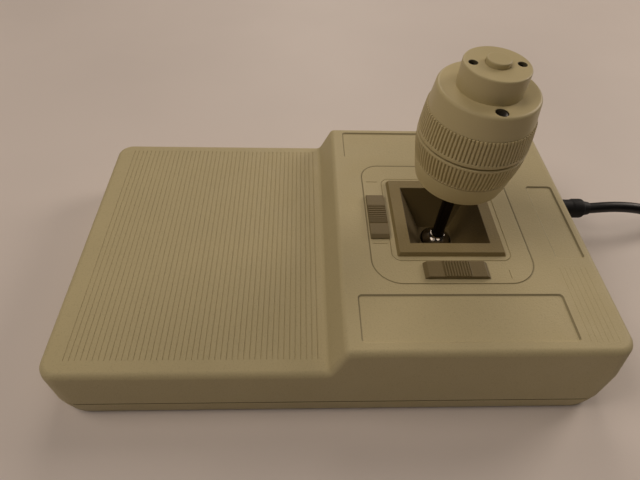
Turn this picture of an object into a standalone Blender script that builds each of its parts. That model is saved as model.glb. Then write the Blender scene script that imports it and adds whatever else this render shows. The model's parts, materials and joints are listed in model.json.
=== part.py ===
"""Desk joystick controller: a palm-rest housing with a three-axis joystick, two trim sliders and a cable.

All dimensions are in millimetres until a mesh is made, where MM turns them into metres.
The origin is at the middle of the footprint, on the surface that the feet stand on; +Y is away from the user.
"""

from math import atan2, cos, pi, radians, sin

import bmesh
import bpy
from mathutils import Matrix, Vector

MM = 0.001
GAP = 0.3                       # clearance between neighbouring pieces

# Housing
BODY_W, BODY_D = 280.0, 173.0   # outline at the seam between cover and tray
SEAM_Z = 11.5
PALM_Z, DECK_Z = 35.0, 51.3
DRAFT = 0.094                   # inward run of the walls for each unit of height
CORNER_R, CORNER_Z = 9.0, 29.5  # corner radius at CORNER_Z and above
CORNER_SPREAD = 0.33            # growth of the corner radius for each unit below that
SLOPE_X0, SLOPE_X1 = -4.6, 2.8  # foot and head of the slope between palm rest and deck
EDGE_R = 3.0
WALL = 2.8
TRAY_Z = 1.5
TRAY_FLOOR_Z = 4.0
TRAY_INSET = 0.7
SEAM_STEP = (0.8, 1.2)          # height and depth of the shadow gap below the cover's edge

# Palm rest grooves and the fine grooves at the deck's front right corner
GROOVES = 45
GROOVE_PITCH = 2.68
GROOVE_X0, GROOVE_Y0, GROOVE_Y1 = -127.3, -75.9, 77.8
GROOVE_W, GROOVE_DEEP = 0.6, 0.35
DECK_GROOVES = 6
DECK_GROOVE_X0, DECK_GROOVE_PITCH = 115.0, 2.68
DECK_GROOVE_Y0, DECK_GROOVE_Y1 = -77.0, -34.0
DECK_GROOVE_W, DECK_GROOVE_DEEP = 0.5, 0.15

# Label recesses in the deck: x0, x1, y0, y1
RECESS_DEEP = 0.8
RECESS_FRONT = (10.7, 110.6, -76.3, -50.9)
RECESS_BACK = (10.3, 110.6, 53.4, 77.7)
RECESS_RIGHT = (116.5, 130.8, -27.3, 27.0)

# Screws and feet at the housing's corners, and the main board with its two posts
CORNER_NAMES = ("front_left", "front_right", "back_right", "back_left")
CORNERS = ((-1, -1), (1, -1), (1, 1), (-1, 1))
SCREW_X, SCREW_Y = 125.0, 72.0
FOOT_X, FOOT_Y = 112.0, 60.0
BOARD = (-105.0, -15.0, -32.0, 34.0)
BOARD_Z = 9.0
BOARD_POSTS = ((-98.0, 0.0), (-22.0, 0.0))

# Joystick: stick axis, pivot height, faceplate and well
STICK_X, STICK_Y, PIVOT_Z = 61.2, 1.8, 31.1
LEAN_FORE_AFT, LEAN_SIDE = 0.71, 1.48   # degrees that the stick leans at rest, about X and then about Y
PLATE = (19.2, 102.6, -43.8, 44.7)      # faceplate outline x0, x1, y0, y1
PLATE_R_FRONT, PLATE_R_BACK = 15.0, 10.0
PLATE_T = 1.6
LEDGE = 3.0
BEZEL_HALF, BEZEL_FOOT, BEZEL_RISE = 27.4, 28.2, 2.3
FLANGE_HALF, FLANGE_R = 31.0, 4.5
WELL_HALF = 21.1
BALL_R = 8.4
NECK_R = 8.9
SHAFT_R = 3.25
FRAME_SCREWS = [(STICK_X + 31.5 * sx, STICK_Y + 35.5 * sy) for sx, sy in CORNERS]
INDEX_MARKS = ((21.3, 27.9, 30.2, 30.6), (21.0, 28.6, -17.9, -17.5), (88.5, 88.9, -40.8, -35.4))

# Trim sliders
TRIM_L, TRIM_W, TRIM_H = 33.0, 9.9, 2.4
TRIM_GRIP = 13.0
TRIM_RIBS = 9
TRIM_LEFT_X, TRIM_FRONT_Y = 24.9, -36.4
TRIM_TRAVEL = 5.0

# Knob, heights above the surface and radii
COLLAR_Z0, COLLAR_Z1, COLLAR_R0, COLLAR_R1 = 82.1, 93.8, 21.4, 24.1
LOWER_RING_Z0, LOWER_RING_Z1 = 94.1, 107.6
UPPER_RING_Z0, UPPER_RING_Z1 = 108.5, 121.8
RING_R_LOW, RING_R_MID, RING_R_HIGH = 24.3, 26.0, 24.8
RING_BORE = 21.0
BODY_Z0, BODY_Z1, BODY_R0, BODY_R1 = 122.1, 133.3, 24.2, 23.0
CAP_Z, CAP_R = 144.3, 14.6
BUTTON_Z, BUTTON_R = 146.6, 5.3
CAP_SCREW_X = 10.5
BOARD_UP = 131.3                # underside of the switch board inside the cap
WINDOW_AT, WINDOW_R = (STICK_X + 0.6, STICK_Y - 18.7), 2.8

# Yokes of the joystick
YOKE_IN, YOKE_OUT = (13.0, 15.0), (15.8, 17.8)
YOKE_W = 8.0
PIN_R = 1.9
FRAME_HALF_IN, FRAME_HALF_OUT = 23.4, 26.0
TRUNNION_R = 2.0

# Cable
CORD_R = 3.5
GLAND_Y, GLAND_Z = 41.0, 20.0
CORD_POINTS = [
    (173.4, 41.0, 20.0), (182.0, 41.4, 20.5), (192.0, 42.0, 20.5), (203.0, 42.6, 19.4), (214.0, 43.2, 17.0),
    (225.0, 43.9, 13.5), (236.0, 44.5, 9.7), (246.0, 44.9, 6.3), (256.0, 45.2, 4.2), (266.7, 45.2, 3.65),
]
COIL_AT = (292.0, -4.0)
COIL_RADII = (28.2, 49.2)       # centre lines of the innermost and outermost turn
COIL_H = 14.1
TAIL_R = 45.7                   # centre line of the turn that the tail leaves

MODEL = bpy.data.collections.new("joystick_controller")
CUTTERS = bpy.data.collections.new("cutters")
PIVOTS = {}
MATERIALS = {}


# ---------------------------------------------------------------- materials

def material(name, colour, roughness=0.55, metallic=0.0):
    if name not in MATERIALS:
        made = bpy.data.materials.new(name)
        made.use_nodes = True
        shader = made.node_tree.nodes["Principled BSDF"]
        shader.inputs["Base Color"].default_value = (*colour, 1.0)
        shader.inputs["Roughness"].default_value = roughness
        shader.inputs["Metallic"].default_value = metallic
        MATERIALS[name] = made
    return MATERIALS[name]


BEIGE = ("beige_plastic", (0.52, 0.45, 0.32), 0.6)
KNOB = ("knob_plastic", (0.50, 0.43, 0.31), 0.5)
BEZEL = ("bezel_plastic", (0.30, 0.25, 0.17), 0.6)
TAUPE = ("taupe_plastic", (0.20, 0.16, 0.10), 0.6)
BLACK = ("black_plastic", (0.02, 0.02, 0.02), 0.45)
RUBBER = ("black_rubber", (0.02, 0.02, 0.02), 0.8)
STEEL = ("steel", (0.6, 0.6, 0.6), 0.25, 1.0)
DARK_STEEL = ("dark_steel", (0.05, 0.05, 0.05), 0.3, 1.0)
WHITE = ("white_nylon", (0.75, 0.75, 0.72), 0.5)
GREEN = ("circuit_board", (0.03, 0.18, 0.07), 0.5)


# ---------------------------------------------------------------- shapes

def rounded_rect(x0, x1, y0, y1, radii, steps=5):
    """Outline, counter-clockwise from the front left corner; radii are front left, front right, back right,
    back left, or one number for all."""
    if not isinstance(radii, (tuple, list)):
        radii = (radii,) * 4
    corners = [(x0, y0, 1, 1, 180), (x1, y0, -1, 1, 270), (x1, y1, -1, -1, 0), (x0, y1, 1, -1, 90)]
    points = []
    for (x, y, sx, sy, start), r in zip(corners, radii):
        for i in range(steps + 1):
            a = radians(start + 90 * i / steps)
            points.append((x + sx * r + r * cos(a), y + sy * r + r * sin(a)))
    return points


def circle(cx, cy, r, steps):
    return [(cx + r * cos(2 * pi * i / steps), cy + r * sin(2 * pi * i / steps)) for i in range(steps)]


def loft(sections):
    """Closed solid through outlines with equal point counts; each section is (outline, z)."""
    bm = bmesh.new()
    loops = []
    for outline, z in sections:
        loops.append([bm.verts.new((x, y, z)) for x, y in outline])
    for low, high in zip(loops, loops[1:]):
        for i in range(len(low)):
            j = (i + 1) % len(low)
            bm.faces.new((low[i], low[j], high[j], high[i]))
    bm.faces.new(reversed(loops[0]))
    bm.faces.new(loops[-1])
    bmesh.ops.recalc_face_normals(bm, faces=bm.faces[:])
    return bm


def prism(outline, z0, z1):
    return loft([(outline, z0), (outline, z1)])


def prism_y(outline, y0, y1):
    """Outline in x and z, extruded along Y."""
    bm = prism(outline, -y1, -y0)
    bmesh.ops.transform(bm, matrix=Matrix.Rotation(pi / 2, 4, "X"), verts=bm.verts[:])
    bmesh.ops.recalc_face_normals(bm, faces=bm.faces[:])
    return bm


def box(x0, x1, y0, y1, z0, z1):
    bm = bmesh.new()
    bmesh.ops.create_cube(bm, size=1.0)
    centre = Vector(((x0 + x1) / 2, (y0 + y1) / 2, (z0 + z1) / 2))
    bmesh.ops.scale(bm, vec=(x1 - x0, y1 - y0, z1 - z0), verts=bm.verts[:])
    bmesh.ops.translate(bm, vec=centre, verts=bm.verts[:])
    return bm


def rod(start, end, r, steps=16, r_end=None):
    """Cylinder or cone from start to end."""
    a, b = Vector(start), Vector(end)
    bm = bmesh.new()
    bmesh.ops.create_cone(bm, cap_ends=True, segments=steps, radius1=r, radius2=r if r_end is None else r_end,
                          depth=(b - a).length)
    turn = Vector((0, 0, 1)).rotation_difference(b - a).to_matrix().to_4x4()
    bmesh.ops.transform(bm, matrix=Matrix.Translation((a + b) / 2) @ turn, verts=bm.verts[:])
    return bm


def stepped(x, y, levels, steps=10):
    """Upright round solid whose radius changes with height; levels are (z, radius) from the bottom up."""
    return loft([(circle(x, y, r, steps), z) for z, r in levels])


def quarter_turn(cx, cy):
    """Turn by 90 degrees about the upright line through cx, cy."""
    there, back = Matrix.Translation((cx, cy, 0)), Matrix.Translation((-cx, -cy, 0))
    return there @ Matrix.Rotation(pi / 2, 4, "Z") @ back


def merged(*parts):
    """One mesh holding several closed shapes, for use as a cutter."""
    whole = bmesh.new()
    for bm in parts:
        mesh = bpy.data.meshes.new("part")
        bm.to_mesh(mesh)
        bm.free()
        whole.from_mesh(mesh)
        bpy.data.meshes.remove(mesh)
    return whole


# ---------------------------------------------------------------- objects

def pivot(name, at, parent=None, lean=(0.0, 0.0)):
    """Empty on a joint's axis, turned by lean about X and Y; at is given with the stick upright."""
    empty = bpy.data.objects.new(name, None)
    empty.empty_display_size = 0.01
    base = PIVOTS[parent][1] if parent else (0.0, 0.0, 0.0)
    empty.location = [(a - b) * MM for a, b in zip(at, base)]
    empty.rotation_euler = (radians(lean[0]), radians(lean[1]), 0.0)
    if parent:
        empty.parent = PIVOTS[parent][0]
    MODEL.objects.link(empty)
    PIVOTS[name] = (empty, at)


def add(name, bm, look, joint=None, sharp=35):
    """Object from a mesh in millimetres in the part's frame, with its origin on its joint."""
    base = PIVOTS[joint][1] if joint else (0.0, 0.0, 0.0)
    bmesh.ops.translate(bm, vec=[-c for c in base], verts=bm.verts[:])
    bmesh.ops.scale(bm, vec=(MM, MM, MM), verts=bm.verts[:])
    mesh = bpy.data.meshes.new(name)
    bm.to_mesh(mesh)
    bm.free()
    mesh.shade_smooth()
    mesh.set_sharp_from_angle(angle=radians(sharp))
    mesh.materials.append(material(*look))
    made = bpy.data.objects.new(name, mesh)
    if joint:
        made.parent = PIVOTS[joint][0]
    MODEL.objects.link(made)
    return made


def boolean(target, bm, operation="DIFFERENCE"):
    """Cut, join or intersect a solid; the cutter is drawn with the stick upright and follows its target."""
    mesh = bpy.data.meshes.new(target.name + "_cutter")
    if target.parent:
        bmesh.ops.translate(bm, vec=[-c for c in PIVOTS[target.parent.name][1]], verts=bm.verts[:])
    bmesh.ops.scale(bm, vec=(MM, MM, MM), verts=bm.verts[:])
    bm.to_mesh(mesh)
    bm.free()
    cutter = bpy.data.objects.new(mesh.name, mesh)
    cutter.parent = target.parent
    cutter.hide_render = True
    cutter.display_type = "WIRE"
    CUTTERS.objects.link(cutter)
    step = target.modifiers.new("boolean", "BOOLEAN")
    step.operation = operation
    step.solver = "EXACT"
    step.object = cutter


def bevel(target, width, segments=2, angle=40):
    step = target.modifiers.new("bevel", "BEVEL")
    step.width = width * MM
    step.segments = segments
    step.limit_method = "ANGLE"
    step.angle_limit = radians(angle)
    step.use_clamp_overlap = True


def turned(name, profile, look, at=(STICK_X, STICK_Y), joint=None, steps=40):
    """Screw a profile of (radius, height) points; it runs down the outer side, top to bottom."""
    base = PIVOTS[joint][1] if joint else (0.0, 0.0, 0.0)
    closed = profile[0][0] > 0
    mesh = bpy.data.meshes.new(name)
    verts = [(r * MM, 0.0, (z - base[2]) * MM) for r, z in profile]
    edges = [(i, i + 1) for i in range(len(verts) - 1)]
    if closed:
        edges.append((len(verts) - 1, 0))
    mesh.from_pydata(verts, edges, [])
    mesh.materials.append(material(*look))
    made = bpy.data.objects.new(name, mesh)
    made.location = ((at[0] - base[0]) * MM, (at[1] - base[1]) * MM, 0.0)
    if joint:
        made.parent = PIVOTS[joint][0]
    screw = made.modifiers.new("screw", "SCREW")
    screw.axis = "Z"
    screw.steps = steps
    screw.render_steps = steps
    screw.use_merge_vertices = True
    screw.merge_threshold = 0.00001
    screw.use_smooth_shade = True
    MODEL.objects.link(made)
    return made


def tube(name, points, r, look, resolution=2, joint=None):
    """Round cable or wire along points, with closed ends."""
    base = PIVOTS[joint][1] if joint else (0.0, 0.0, 0.0)
    curve = bpy.data.curves.new(name, "CURVE")
    curve.dimensions = "3D"
    curve.bevel_depth = r * MM
    curve.bevel_resolution = resolution
    curve.use_fill_caps = True
    spline = curve.splines.new("POLY")
    spline.points.add(len(points) - 1)
    for point, co in zip(spline.points, points):
        point.co = (*[(c - b) * MM for c, b in zip(co, base)], 1.0)
    curve.materials.append(material(*look))
    made = bpy.data.objects.new(name, curve)
    if joint:
        made.parent = PIVOTS[joint][0]
    MODEL.objects.link(made)
    return made


def smooth_route(points, spacing):
    """Points on a Catmull-Rom curve through the route's own points."""
    route = [Vector(p) for p in points]
    route = [2 * route[0] - route[1]] + route + [2 * route[-1] - route[-2]]
    out = []
    for p0, p1, p2, p3 in zip(route, route[1:], route[2:], route[3:]):
        n = max(1, round((p2 - p1).length / spacing))
        for i in range(n):
            t = i / n
            out.append(0.5 * ((2 * p1) + (p2 - p0) * t + (2 * p0 - 5 * p1 + 4 * p2 - p3) * t * t
                              + (3 * p1 - p0 - 3 * p2 + p3) * t ** 3))
    out.append(route[-2])
    return [tuple(p) for p in out]


def helix(centre, axis, r, length, turns, per_turn=8):
    """Points of a coil spring that starts at centre and runs along axis."""
    along = Vector(axis).normalized()
    side = along.orthogonal().normalized()
    up = along.cross(side)
    count = int(turns * per_turn)
    out = []
    for i in range(count + 1):
        a = 2 * pi * i / per_turn
        spoke = side * (r * cos(a)) + up * (r * sin(a))
        out.append(tuple(Vector(centre) + along * (length * i / count) + spoke))
    return out


# ---------------------------------------------------------------- housing

def wall_outline(z, inset=0.0, steps=4):
    """Outer wall of the cover at height z, moved inward by inset."""
    i = DRAFT * (z - SEAM_Z) + inset
    r = max(CORNER_R + CORNER_SPREAD * max(CORNER_Z - z, 0.0) - 0.6 * inset, 1.0)
    return rounded_rect(i - BODY_W / 2, BODY_W / 2 - i, i - BODY_D / 2, BODY_D / 2 - i, r, steps)


def top_profile(drop=0.0, steps=4):
    """Side view of the cover's top, x and z, with rounded slope; lowered by drop."""
    left, right = -BODY_W, BODY_W
    palm, deck = PALM_Z - drop, DECK_Z - drop
    slope = atan2(deck - palm, SLOPE_X1 - SLOPE_X0)
    shift = drop * (1 - cos(slope)) / sin(slope)
    foot_x, head_x = SLOPE_X0 + shift, SLOPE_X1 + shift
    r_foot, r_head = 3.2, 3.2
    points = [(left, -20.0), (right, -20.0), (right, deck)]
    run = r_head * (1 - cos(slope)) / sin(slope)
    for i in range(steps + 1):
        a = slope * i / steps
        points.append((head_x + run - r_head * sin(a), deck - r_head + r_head * cos(a)))
    run = r_foot * (1 - cos(slope)) / sin(slope)
    for i in range(steps, -1, -1):
        a = slope * i / steps
        points.append((foot_x - run + r_foot * sin(a), palm + r_foot - r_foot * cos(a)))
    points.append((left, palm))
    return points


def housing():
    cover = add("upper_cover", loft([(wall_outline(z), z) for z in (5.0, CORNER_Z, 60.0)]), BEIGE)
    boolean(cover, prism_y(top_profile(), -200, 200), "INTERSECT")
    bevel(cover, EDGE_R, 3, 45)
    boolean(cover, box(-200, 200, -200, 200, -5, SEAM_Z + GAP / 2))
    hollow = add("cover_hollow", loft([(wall_outline(z, WALL), z) for z in (3.0, CORNER_Z, 60.0)]), BEIGE)
    boolean(hollow, prism_y(top_profile(WALL + 0.2), -200, 200), "INTERSECT")
    MODEL.objects.unlink(hollow)
    CUTTERS.objects.link(hollow)
    hollow.hide_render = True
    hollow.display_type = "WIRE"
    step = cover.modifiers.new("hollow", "BOOLEAN")
    step.solver = "EXACT"
    step.object = hollow
    ceiling = {-1: PALM_Z - WALL, 1: DECK_Z - WALL}
    bosses = []
    for sx, sy in CORNERS:
        x, y = sx * SCREW_X, sy * SCREW_Y
        bosses.append(rod((x, y, SEAM_Z + 0.5), (x, y, ceiling[sx] + 0.6), 4.2, 12))
    boolean(cover, merged(*bosses), "UNION")
    cuts = []
    for sx, sy in CORNERS:
        x, y = sx * SCREW_X, sy * SCREW_Y
        cuts.append(rod((x, y, SEAM_Z), (x, y, 24.0), 1.8, 12))
    x0, x1, y0, y1 = PLATE
    hole = (PLATE_R_FRONT, PLATE_R_FRONT, PLATE_R_BACK, PLATE_R_BACK)
    wide = rounded_rect(x0 - GAP, x1 + GAP, y0 - GAP, y1 + GAP, [r + GAP for r in hole], 6)
    narrow = rounded_rect(x0 + LEDGE, x1 - LEDGE, y0 + LEDGE, y1 - LEDGE, [r - LEDGE for r in hole], 6)
    ledge_z = DECK_Z - PLATE_T - GAP
    cuts.append(loft([(narrow, 40), (narrow, ledge_z), (wide, ledge_z), (wide, 60)]))
    cuts.append(rod((120, GLAND_Y, GLAND_Z), (150, GLAND_Y, GLAND_Z), 5.0 + GAP, 20))
    boolean(cover, merged(*cuts))
    grooves = []
    for i in range(GROOVES):
        x = GROOVE_X0 + i * GROOVE_PITCH
        grooves.append(box(x, x + GROOVE_W, GROOVE_Y0, GROOVE_Y1, PALM_Z - GROOVE_DEEP, PALM_Z + 5))
    for i in range(DECK_GROOVES):
        x = DECK_GROOVE_X0 + i * DECK_GROOVE_PITCH
        grooves.append(box(x, x + DECK_GROOVE_W, DECK_GROOVE_Y0, DECK_GROOVE_Y1, DECK_Z - DECK_GROOVE_DEEP,
                           DECK_Z + 5))
    for x0, x1, y0, y1 in (RECESS_FRONT, RECESS_BACK, RECESS_RIGHT):
        grooves.append(prism(rounded_rect(x0, x1, y0, y1, 1.5, 3), DECK_Z - RECESS_DEEP, DECK_Z + 5))
    boolean(cover, merged(*grooves))

    top = SEAM_Z - GAP / 2
    step_h, step_in = SEAM_STEP
    tray = add("base_tray", loft([(wall_outline(z, i + DRAFT * (SEAM_Z - z)), z) for i, z in (
        (TRAY_INSET, TRAY_Z), (0.5, 6.3), (0.2, 6.4), (0.1, top - step_h), (step_in, top - step_h),
        (step_in, top))]), BEIGE)
    boolean(tray, prism(wall_outline(SEAM_Z, WALL + 1.3), TRAY_FLOOR_Z, 20))
    posts, holes = [], []
    for sx, sy in CORNERS:
        x, y = sx * SCREW_X, sy * SCREW_Y
        posts.append(rod((x, y, 3.0), (x, y, SEAM_Z - GAP), 5.2, 12))
        holes.append(stepped(x, y, [(0, 3.5), (7.0, 3.5), (7.0, 1.8), (14, 1.8)]))
        holes.append(rod((sx * FOOT_X, sy * FOOT_Y, 0), (sx * FOOT_X, sy * FOOT_Y, 9), 2.3, 10))
    for x, y in BOARD_POSTS:
        posts.append(rod((x, y, 3.0), (x, y, BOARD_Z - GAP), 3.5, 10))
        holes.append(rod((x, y, 5.5), (x, y, 14), 1.4, 8))
    boolean(tray, merged(*posts), "UNION")
    boolean(tray, merged(*holes))

    for i, (sx, sy) in enumerate(CORNERS):
        tag = CORNER_NAMES[i]
        x, y = sx * SCREW_X, sy * SCREW_Y
        turned("housing_screw_" + tag,
               [(0, 22), (1.5, 22), (1.5, 6.7), (3.0, 6.7), (3.0, 4.2), (0, 4.2)], STEEL, (x, y), steps=8)
        x, y = sx * FOOT_X, sy * FOOT_Y
        turned("foot_" + tag, [(0, 6.5), (2.0, 6.5), (2.0, 1.2), (6.5, 1.2), (7.0, 0.7), (7.0, 0.0), (0, 0)],
               RUBBER, (x, y), steps=12)


# ---------------------------------------------------------------- joystick module

def square(half, r, steps=3):
    return rounded_rect(STICK_X - half, STICK_X + half, STICK_Y - half, STICK_Y + half, r, steps)


def joystick_module():
    x0, x1, y0, y1 = PLATE
    top, under = DECK_Z, DECK_Z - PLATE_T
    plate = add("faceplate", prism(rounded_rect(x0, x1, y0, y1, (PLATE_R_FRONT, PLATE_R_FRONT, PLATE_R_BACK,
                                                                PLATE_R_BACK), 6), under, top), BEIGE)
    boolean(plate, merged(*[rod((x, y, under - 1.2), (x, y, under + 0.4), 3.2, 12) for x, y in FRAME_SCREWS]),
            "UNION")
    cuts = [prism(square(FLANGE_HALF + GAP, FLANGE_R + GAP), 40, 60)]
    cuts += [rod((x, y, 40), (x, y, top - 0.7), 1.55, 10) for x, y in FRAME_SCREWS]
    slot = TRIM_TRAVEL + 3.0
    cuts.append(box(TRIM_LEFT_X - 1.4, TRIM_LEFT_X + 1.4, STICK_Y - slot, STICK_Y + slot, 40, 60))
    cuts.append(box(STICK_X - slot, STICK_X + slot, TRIM_FRONT_Y - 1.4, TRIM_FRONT_Y + 1.4, 40, 60))
    for bx0, bx1, by0, by1 in INDEX_MARKS:
        cuts.append(box(bx0, bx1, by0, by1, top - 0.35, 60))
    boolean(plate, merged(*cuts))

    rise = top + BEZEL_RISE
    well = add("bezel_well", loft([
        (square(10.4, 2.0), 26.0), (square(10.4, 2.0), 33.0), (square(22.8, 2.0), 48.6),
        (square(FLANGE_HALF, FLANGE_R), 48.6), (square(FLANGE_HALF, FLANGE_R), top),
        (square(BEZEL_FOOT, 0.6), top), (square(BEZEL_HALF, 0.5), rise)]), BEZEL)
    boolean(well, loft([(square(NECK_R + 0.3, 0.4), 33.5), (square(WELL_HALF, 0.4), rise),
                        (square(WELL_HALF + 0.4, 0.4), rise + 0.6)]))
    boolean(well, rod((STICK_X, STICK_Y, 26.9), (STICK_X, STICK_Y, 34), NECK_R, 24))
    boolean(well, rod((STICK_X, STICK_Y, 20), (STICK_X, STICK_Y, 28), 7.65, 24))

    frame = add("gimbal_frame", prism(rounded_rect(STICK_X - 47, STICK_X + 47, STICK_Y - 49.5, STICK_Y + 49.5,
                                                   6, 3), 45.6, 48.0), BLACK)
    boolean(frame, prism(square(FRAME_HALF_OUT, 1.5), 24.0, 46.5), "UNION")
    boolean(frame, prism(square(FRAME_HALF_IN, 0.6), 10, 60))
    cuts = [rod((x, y, 40), (x, y, 60), 1.55, 10) for x, y in FRAME_SCREWS]
    for dx, dy in ((1, 0), (0, 1), (-1, 0), (0, -1)):
        near = (STICK_X + 20 * dx, STICK_Y + 20 * dy, PIVOT_Z)
        far = (STICK_X + 40 * dx, STICK_Y + 40 * dy, PIVOT_Z)
        cuts.append(rod(near, far, TRUNNION_R + 0.35, 16))
    slot = TRIM_TRAVEL + 3.6
    cuts.append(box(TRIM_LEFT_X - 1.6, TRIM_LEFT_X + 1.6, STICK_Y - slot, STICK_Y + slot, 40, 60))
    cuts.append(box(STICK_X - slot, STICK_X + slot, TRIM_FRONT_Y - 1.6, TRIM_FRONT_Y + 1.6, 40, 60))
    boolean(frame, merged(*cuts))
    for i, (x, y) in enumerate(FRAME_SCREWS):
        turned("frame_screw_" + CORNER_NAMES[i],
               [(0, 50.2), (1.25, 50.2), (1.25, 45.3), (2.4, 45.3), (2.4, 43.4), (0, 43.4)],
               STEEL, (x, y), steps=8)

    yokes()
    trims()


def yoke(name, radii, along_x, joint):
    """Half ring below the ball, with a slot for the stick and a trunnion at each end."""
    inner, outer = radii
    outline = [(outer * cos(a), outer * sin(a)) for a in [radians(180 + 180 * i / 16) for i in range(17)]]
    outline += [(inner * cos(a), inner * sin(a)) for a in [radians(-180 * i / 16) for i in range(17)]]
    y0, y1 = STICK_Y - YOKE_W / 2, STICK_Y + YOKE_W / 2
    bow = prism_y([(STICK_X + x, PIVOT_Z + z) for x, z in outline], y0, y1)
    middle = (inner + outer) / 2
    hubs, trunnions = [], []
    for side in (-1, 1):
        x = STICK_X + side * middle
        hubs.append(box(x - 1.2, x + 1.2, y0, y1, PIVOT_Z - 1.0, PIVOT_Z + 3.0))
        tip = (STICK_X + side * 33.5, STICK_Y, PIVOT_Z)
        trunnions.append(rod((x, STICK_Y, PIVOT_Z), tip, TRUNNION_R, 16))
    slot = box(STICK_X - 8.7, STICK_X + 8.7, STICK_Y - 2.5, STICK_Y + 2.5, PIVOT_Z - 20, PIVOT_Z - 11)
    parts = [bow, merged(*hubs), merged(*trunnions), slot]
    if not along_x:
        for part in parts:
            bmesh.ops.transform(part, matrix=quarter_turn(STICK_X, STICK_Y), verts=part.verts[:])
    made = add(name, parts[0], WHITE, joint)
    boolean(made, parts[1], "UNION")
    boolean(made, parts[2], "UNION")
    boolean(made, parts[3])


def yokes():
    pivot("fore_aft_axis", (STICK_X, STICK_Y, PIVOT_Z), lean=(LEAN_FORE_AFT, 0.0))
    pivot("side_axis", (STICK_X, STICK_Y, PIVOT_Z), lean=(0.0, LEAN_SIDE))
    yoke("fore_aft_yoke", YOKE_OUT, True, "fore_aft_axis")
    yoke("side_yoke", YOKE_IN, False, "side_axis")
    near = FRAME_HALF_OUT + GAP
    for name, dx, dy in (("fore_aft_sensor", 1, 0), ("side_sensor", 0, 1)):
        a = (STICK_X + dx * near, STICK_Y + dy * near, PIVOT_Z)
        b = (STICK_X + dx * (near + 8.5), STICK_Y + dy * (near + 8.5), PIVOT_Z)
        sensor = add(name, rod(a, b, 8.0, 24), BLACK)
        beyond = (STICK_X + dx * (near + 7.6), STICK_Y + dy * (near + 7.6), PIVOT_Z)
        before = (STICK_X + dx * (near - 2), STICK_Y + dy * (near - 2), PIVOT_Z)
        boolean(sensor, rod(before, beyond, TRUNNION_R + 0.35, 16))
    for name, dx, dy in (("fore_aft_spring", -1, 0), ("side_spring", 0, -1)):
        start = (STICK_X + dx * (near + 0.7), STICK_Y + dy * (near + 0.7), PIVOT_Z)
        tube(name, helix(start, (dx, dy, 0), 3.4, 4.8, 4.0), 0.5, STEEL, 0)


def trim_slider(name, joint, along_y, centre):
    """Thumb cap with sloping ends, a ribbed middle and a stem through the faceplate; drawn along X."""
    z0 = DECK_Z + GAP
    cx, cy = centre
    half, grip = TRIM_L / 2, TRIM_GRIP / 2
    flat = TRIM_H - 0.4
    profile = [(-half, 0.0), (half, 0.0), (half, 0.5), (half - 1.8, flat), (grip + 0.6, flat), (grip, TRIM_H)]
    profile += [(-grip, TRIM_H), (-grip - 0.6, flat), (1.8 - half, flat), (-half, 0.5)]
    cap = prism_y([(cx + x, z0 + z) for x, z in profile], cy - TRIM_W / 2, cy + TRIM_W / 2)
    stem = box(cx - 2.0, cx + 2.0, cy - 1.0, cy + 1.0, 42.6, z0 + 0.4)
    pitch = TRIM_GRIP / TRIM_RIBS
    grooves = []
    for i in range(TRIM_RIBS + 1):
        x = cx - grip + i * pitch
        grooves.append(box(x - 0.3, x + 0.3, cy - 10, cy + 10, z0 + TRIM_H - 0.6, z0 + 5))
    parts = [cap, stem, merged(*grooves)]
    if along_y:
        for part in parts:
            bmesh.ops.transform(part, matrix=quarter_turn(cx, cy), verts=part.verts[:])
    pivot(joint, (cx, cy, DECK_Z))
    made = add(name, parts[0], TAUPE, joint)
    boolean(made, parts[1], "UNION")
    boolean(made, parts[2])


def trims():
    trim_slider("trim_slider_left", "left_trim_axis", True, (TRIM_LEFT_X, STICK_Y))
    trim_slider("trim_slider_front", "front_trim_axis", False, (STICK_X, TRIM_FRONT_Y))
    slot = TRIM_TRAVEL + 2.6
    for name, cx, cy, along_y in (("trim_sensor_left", TRIM_LEFT_X, STICK_Y, True),
                                  ("trim_sensor_front", STICK_X, TRIM_FRONT_Y, False)):
        hx, hy = (3.6, 18.0) if along_y else (18.0, 3.6)
        sx, sy = (1.4, slot) if along_y else (slot, 1.4)
        body = add(name, box(cx - hx, cx + hx, cy - hy, cy + hy, 39.5, 45.3), BLACK)
        boolean(body, box(cx - sx, cx + sx, cy - sy, cy + sy, 42.0, 50))


# ---------------------------------------------------------------- stick and knob

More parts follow.
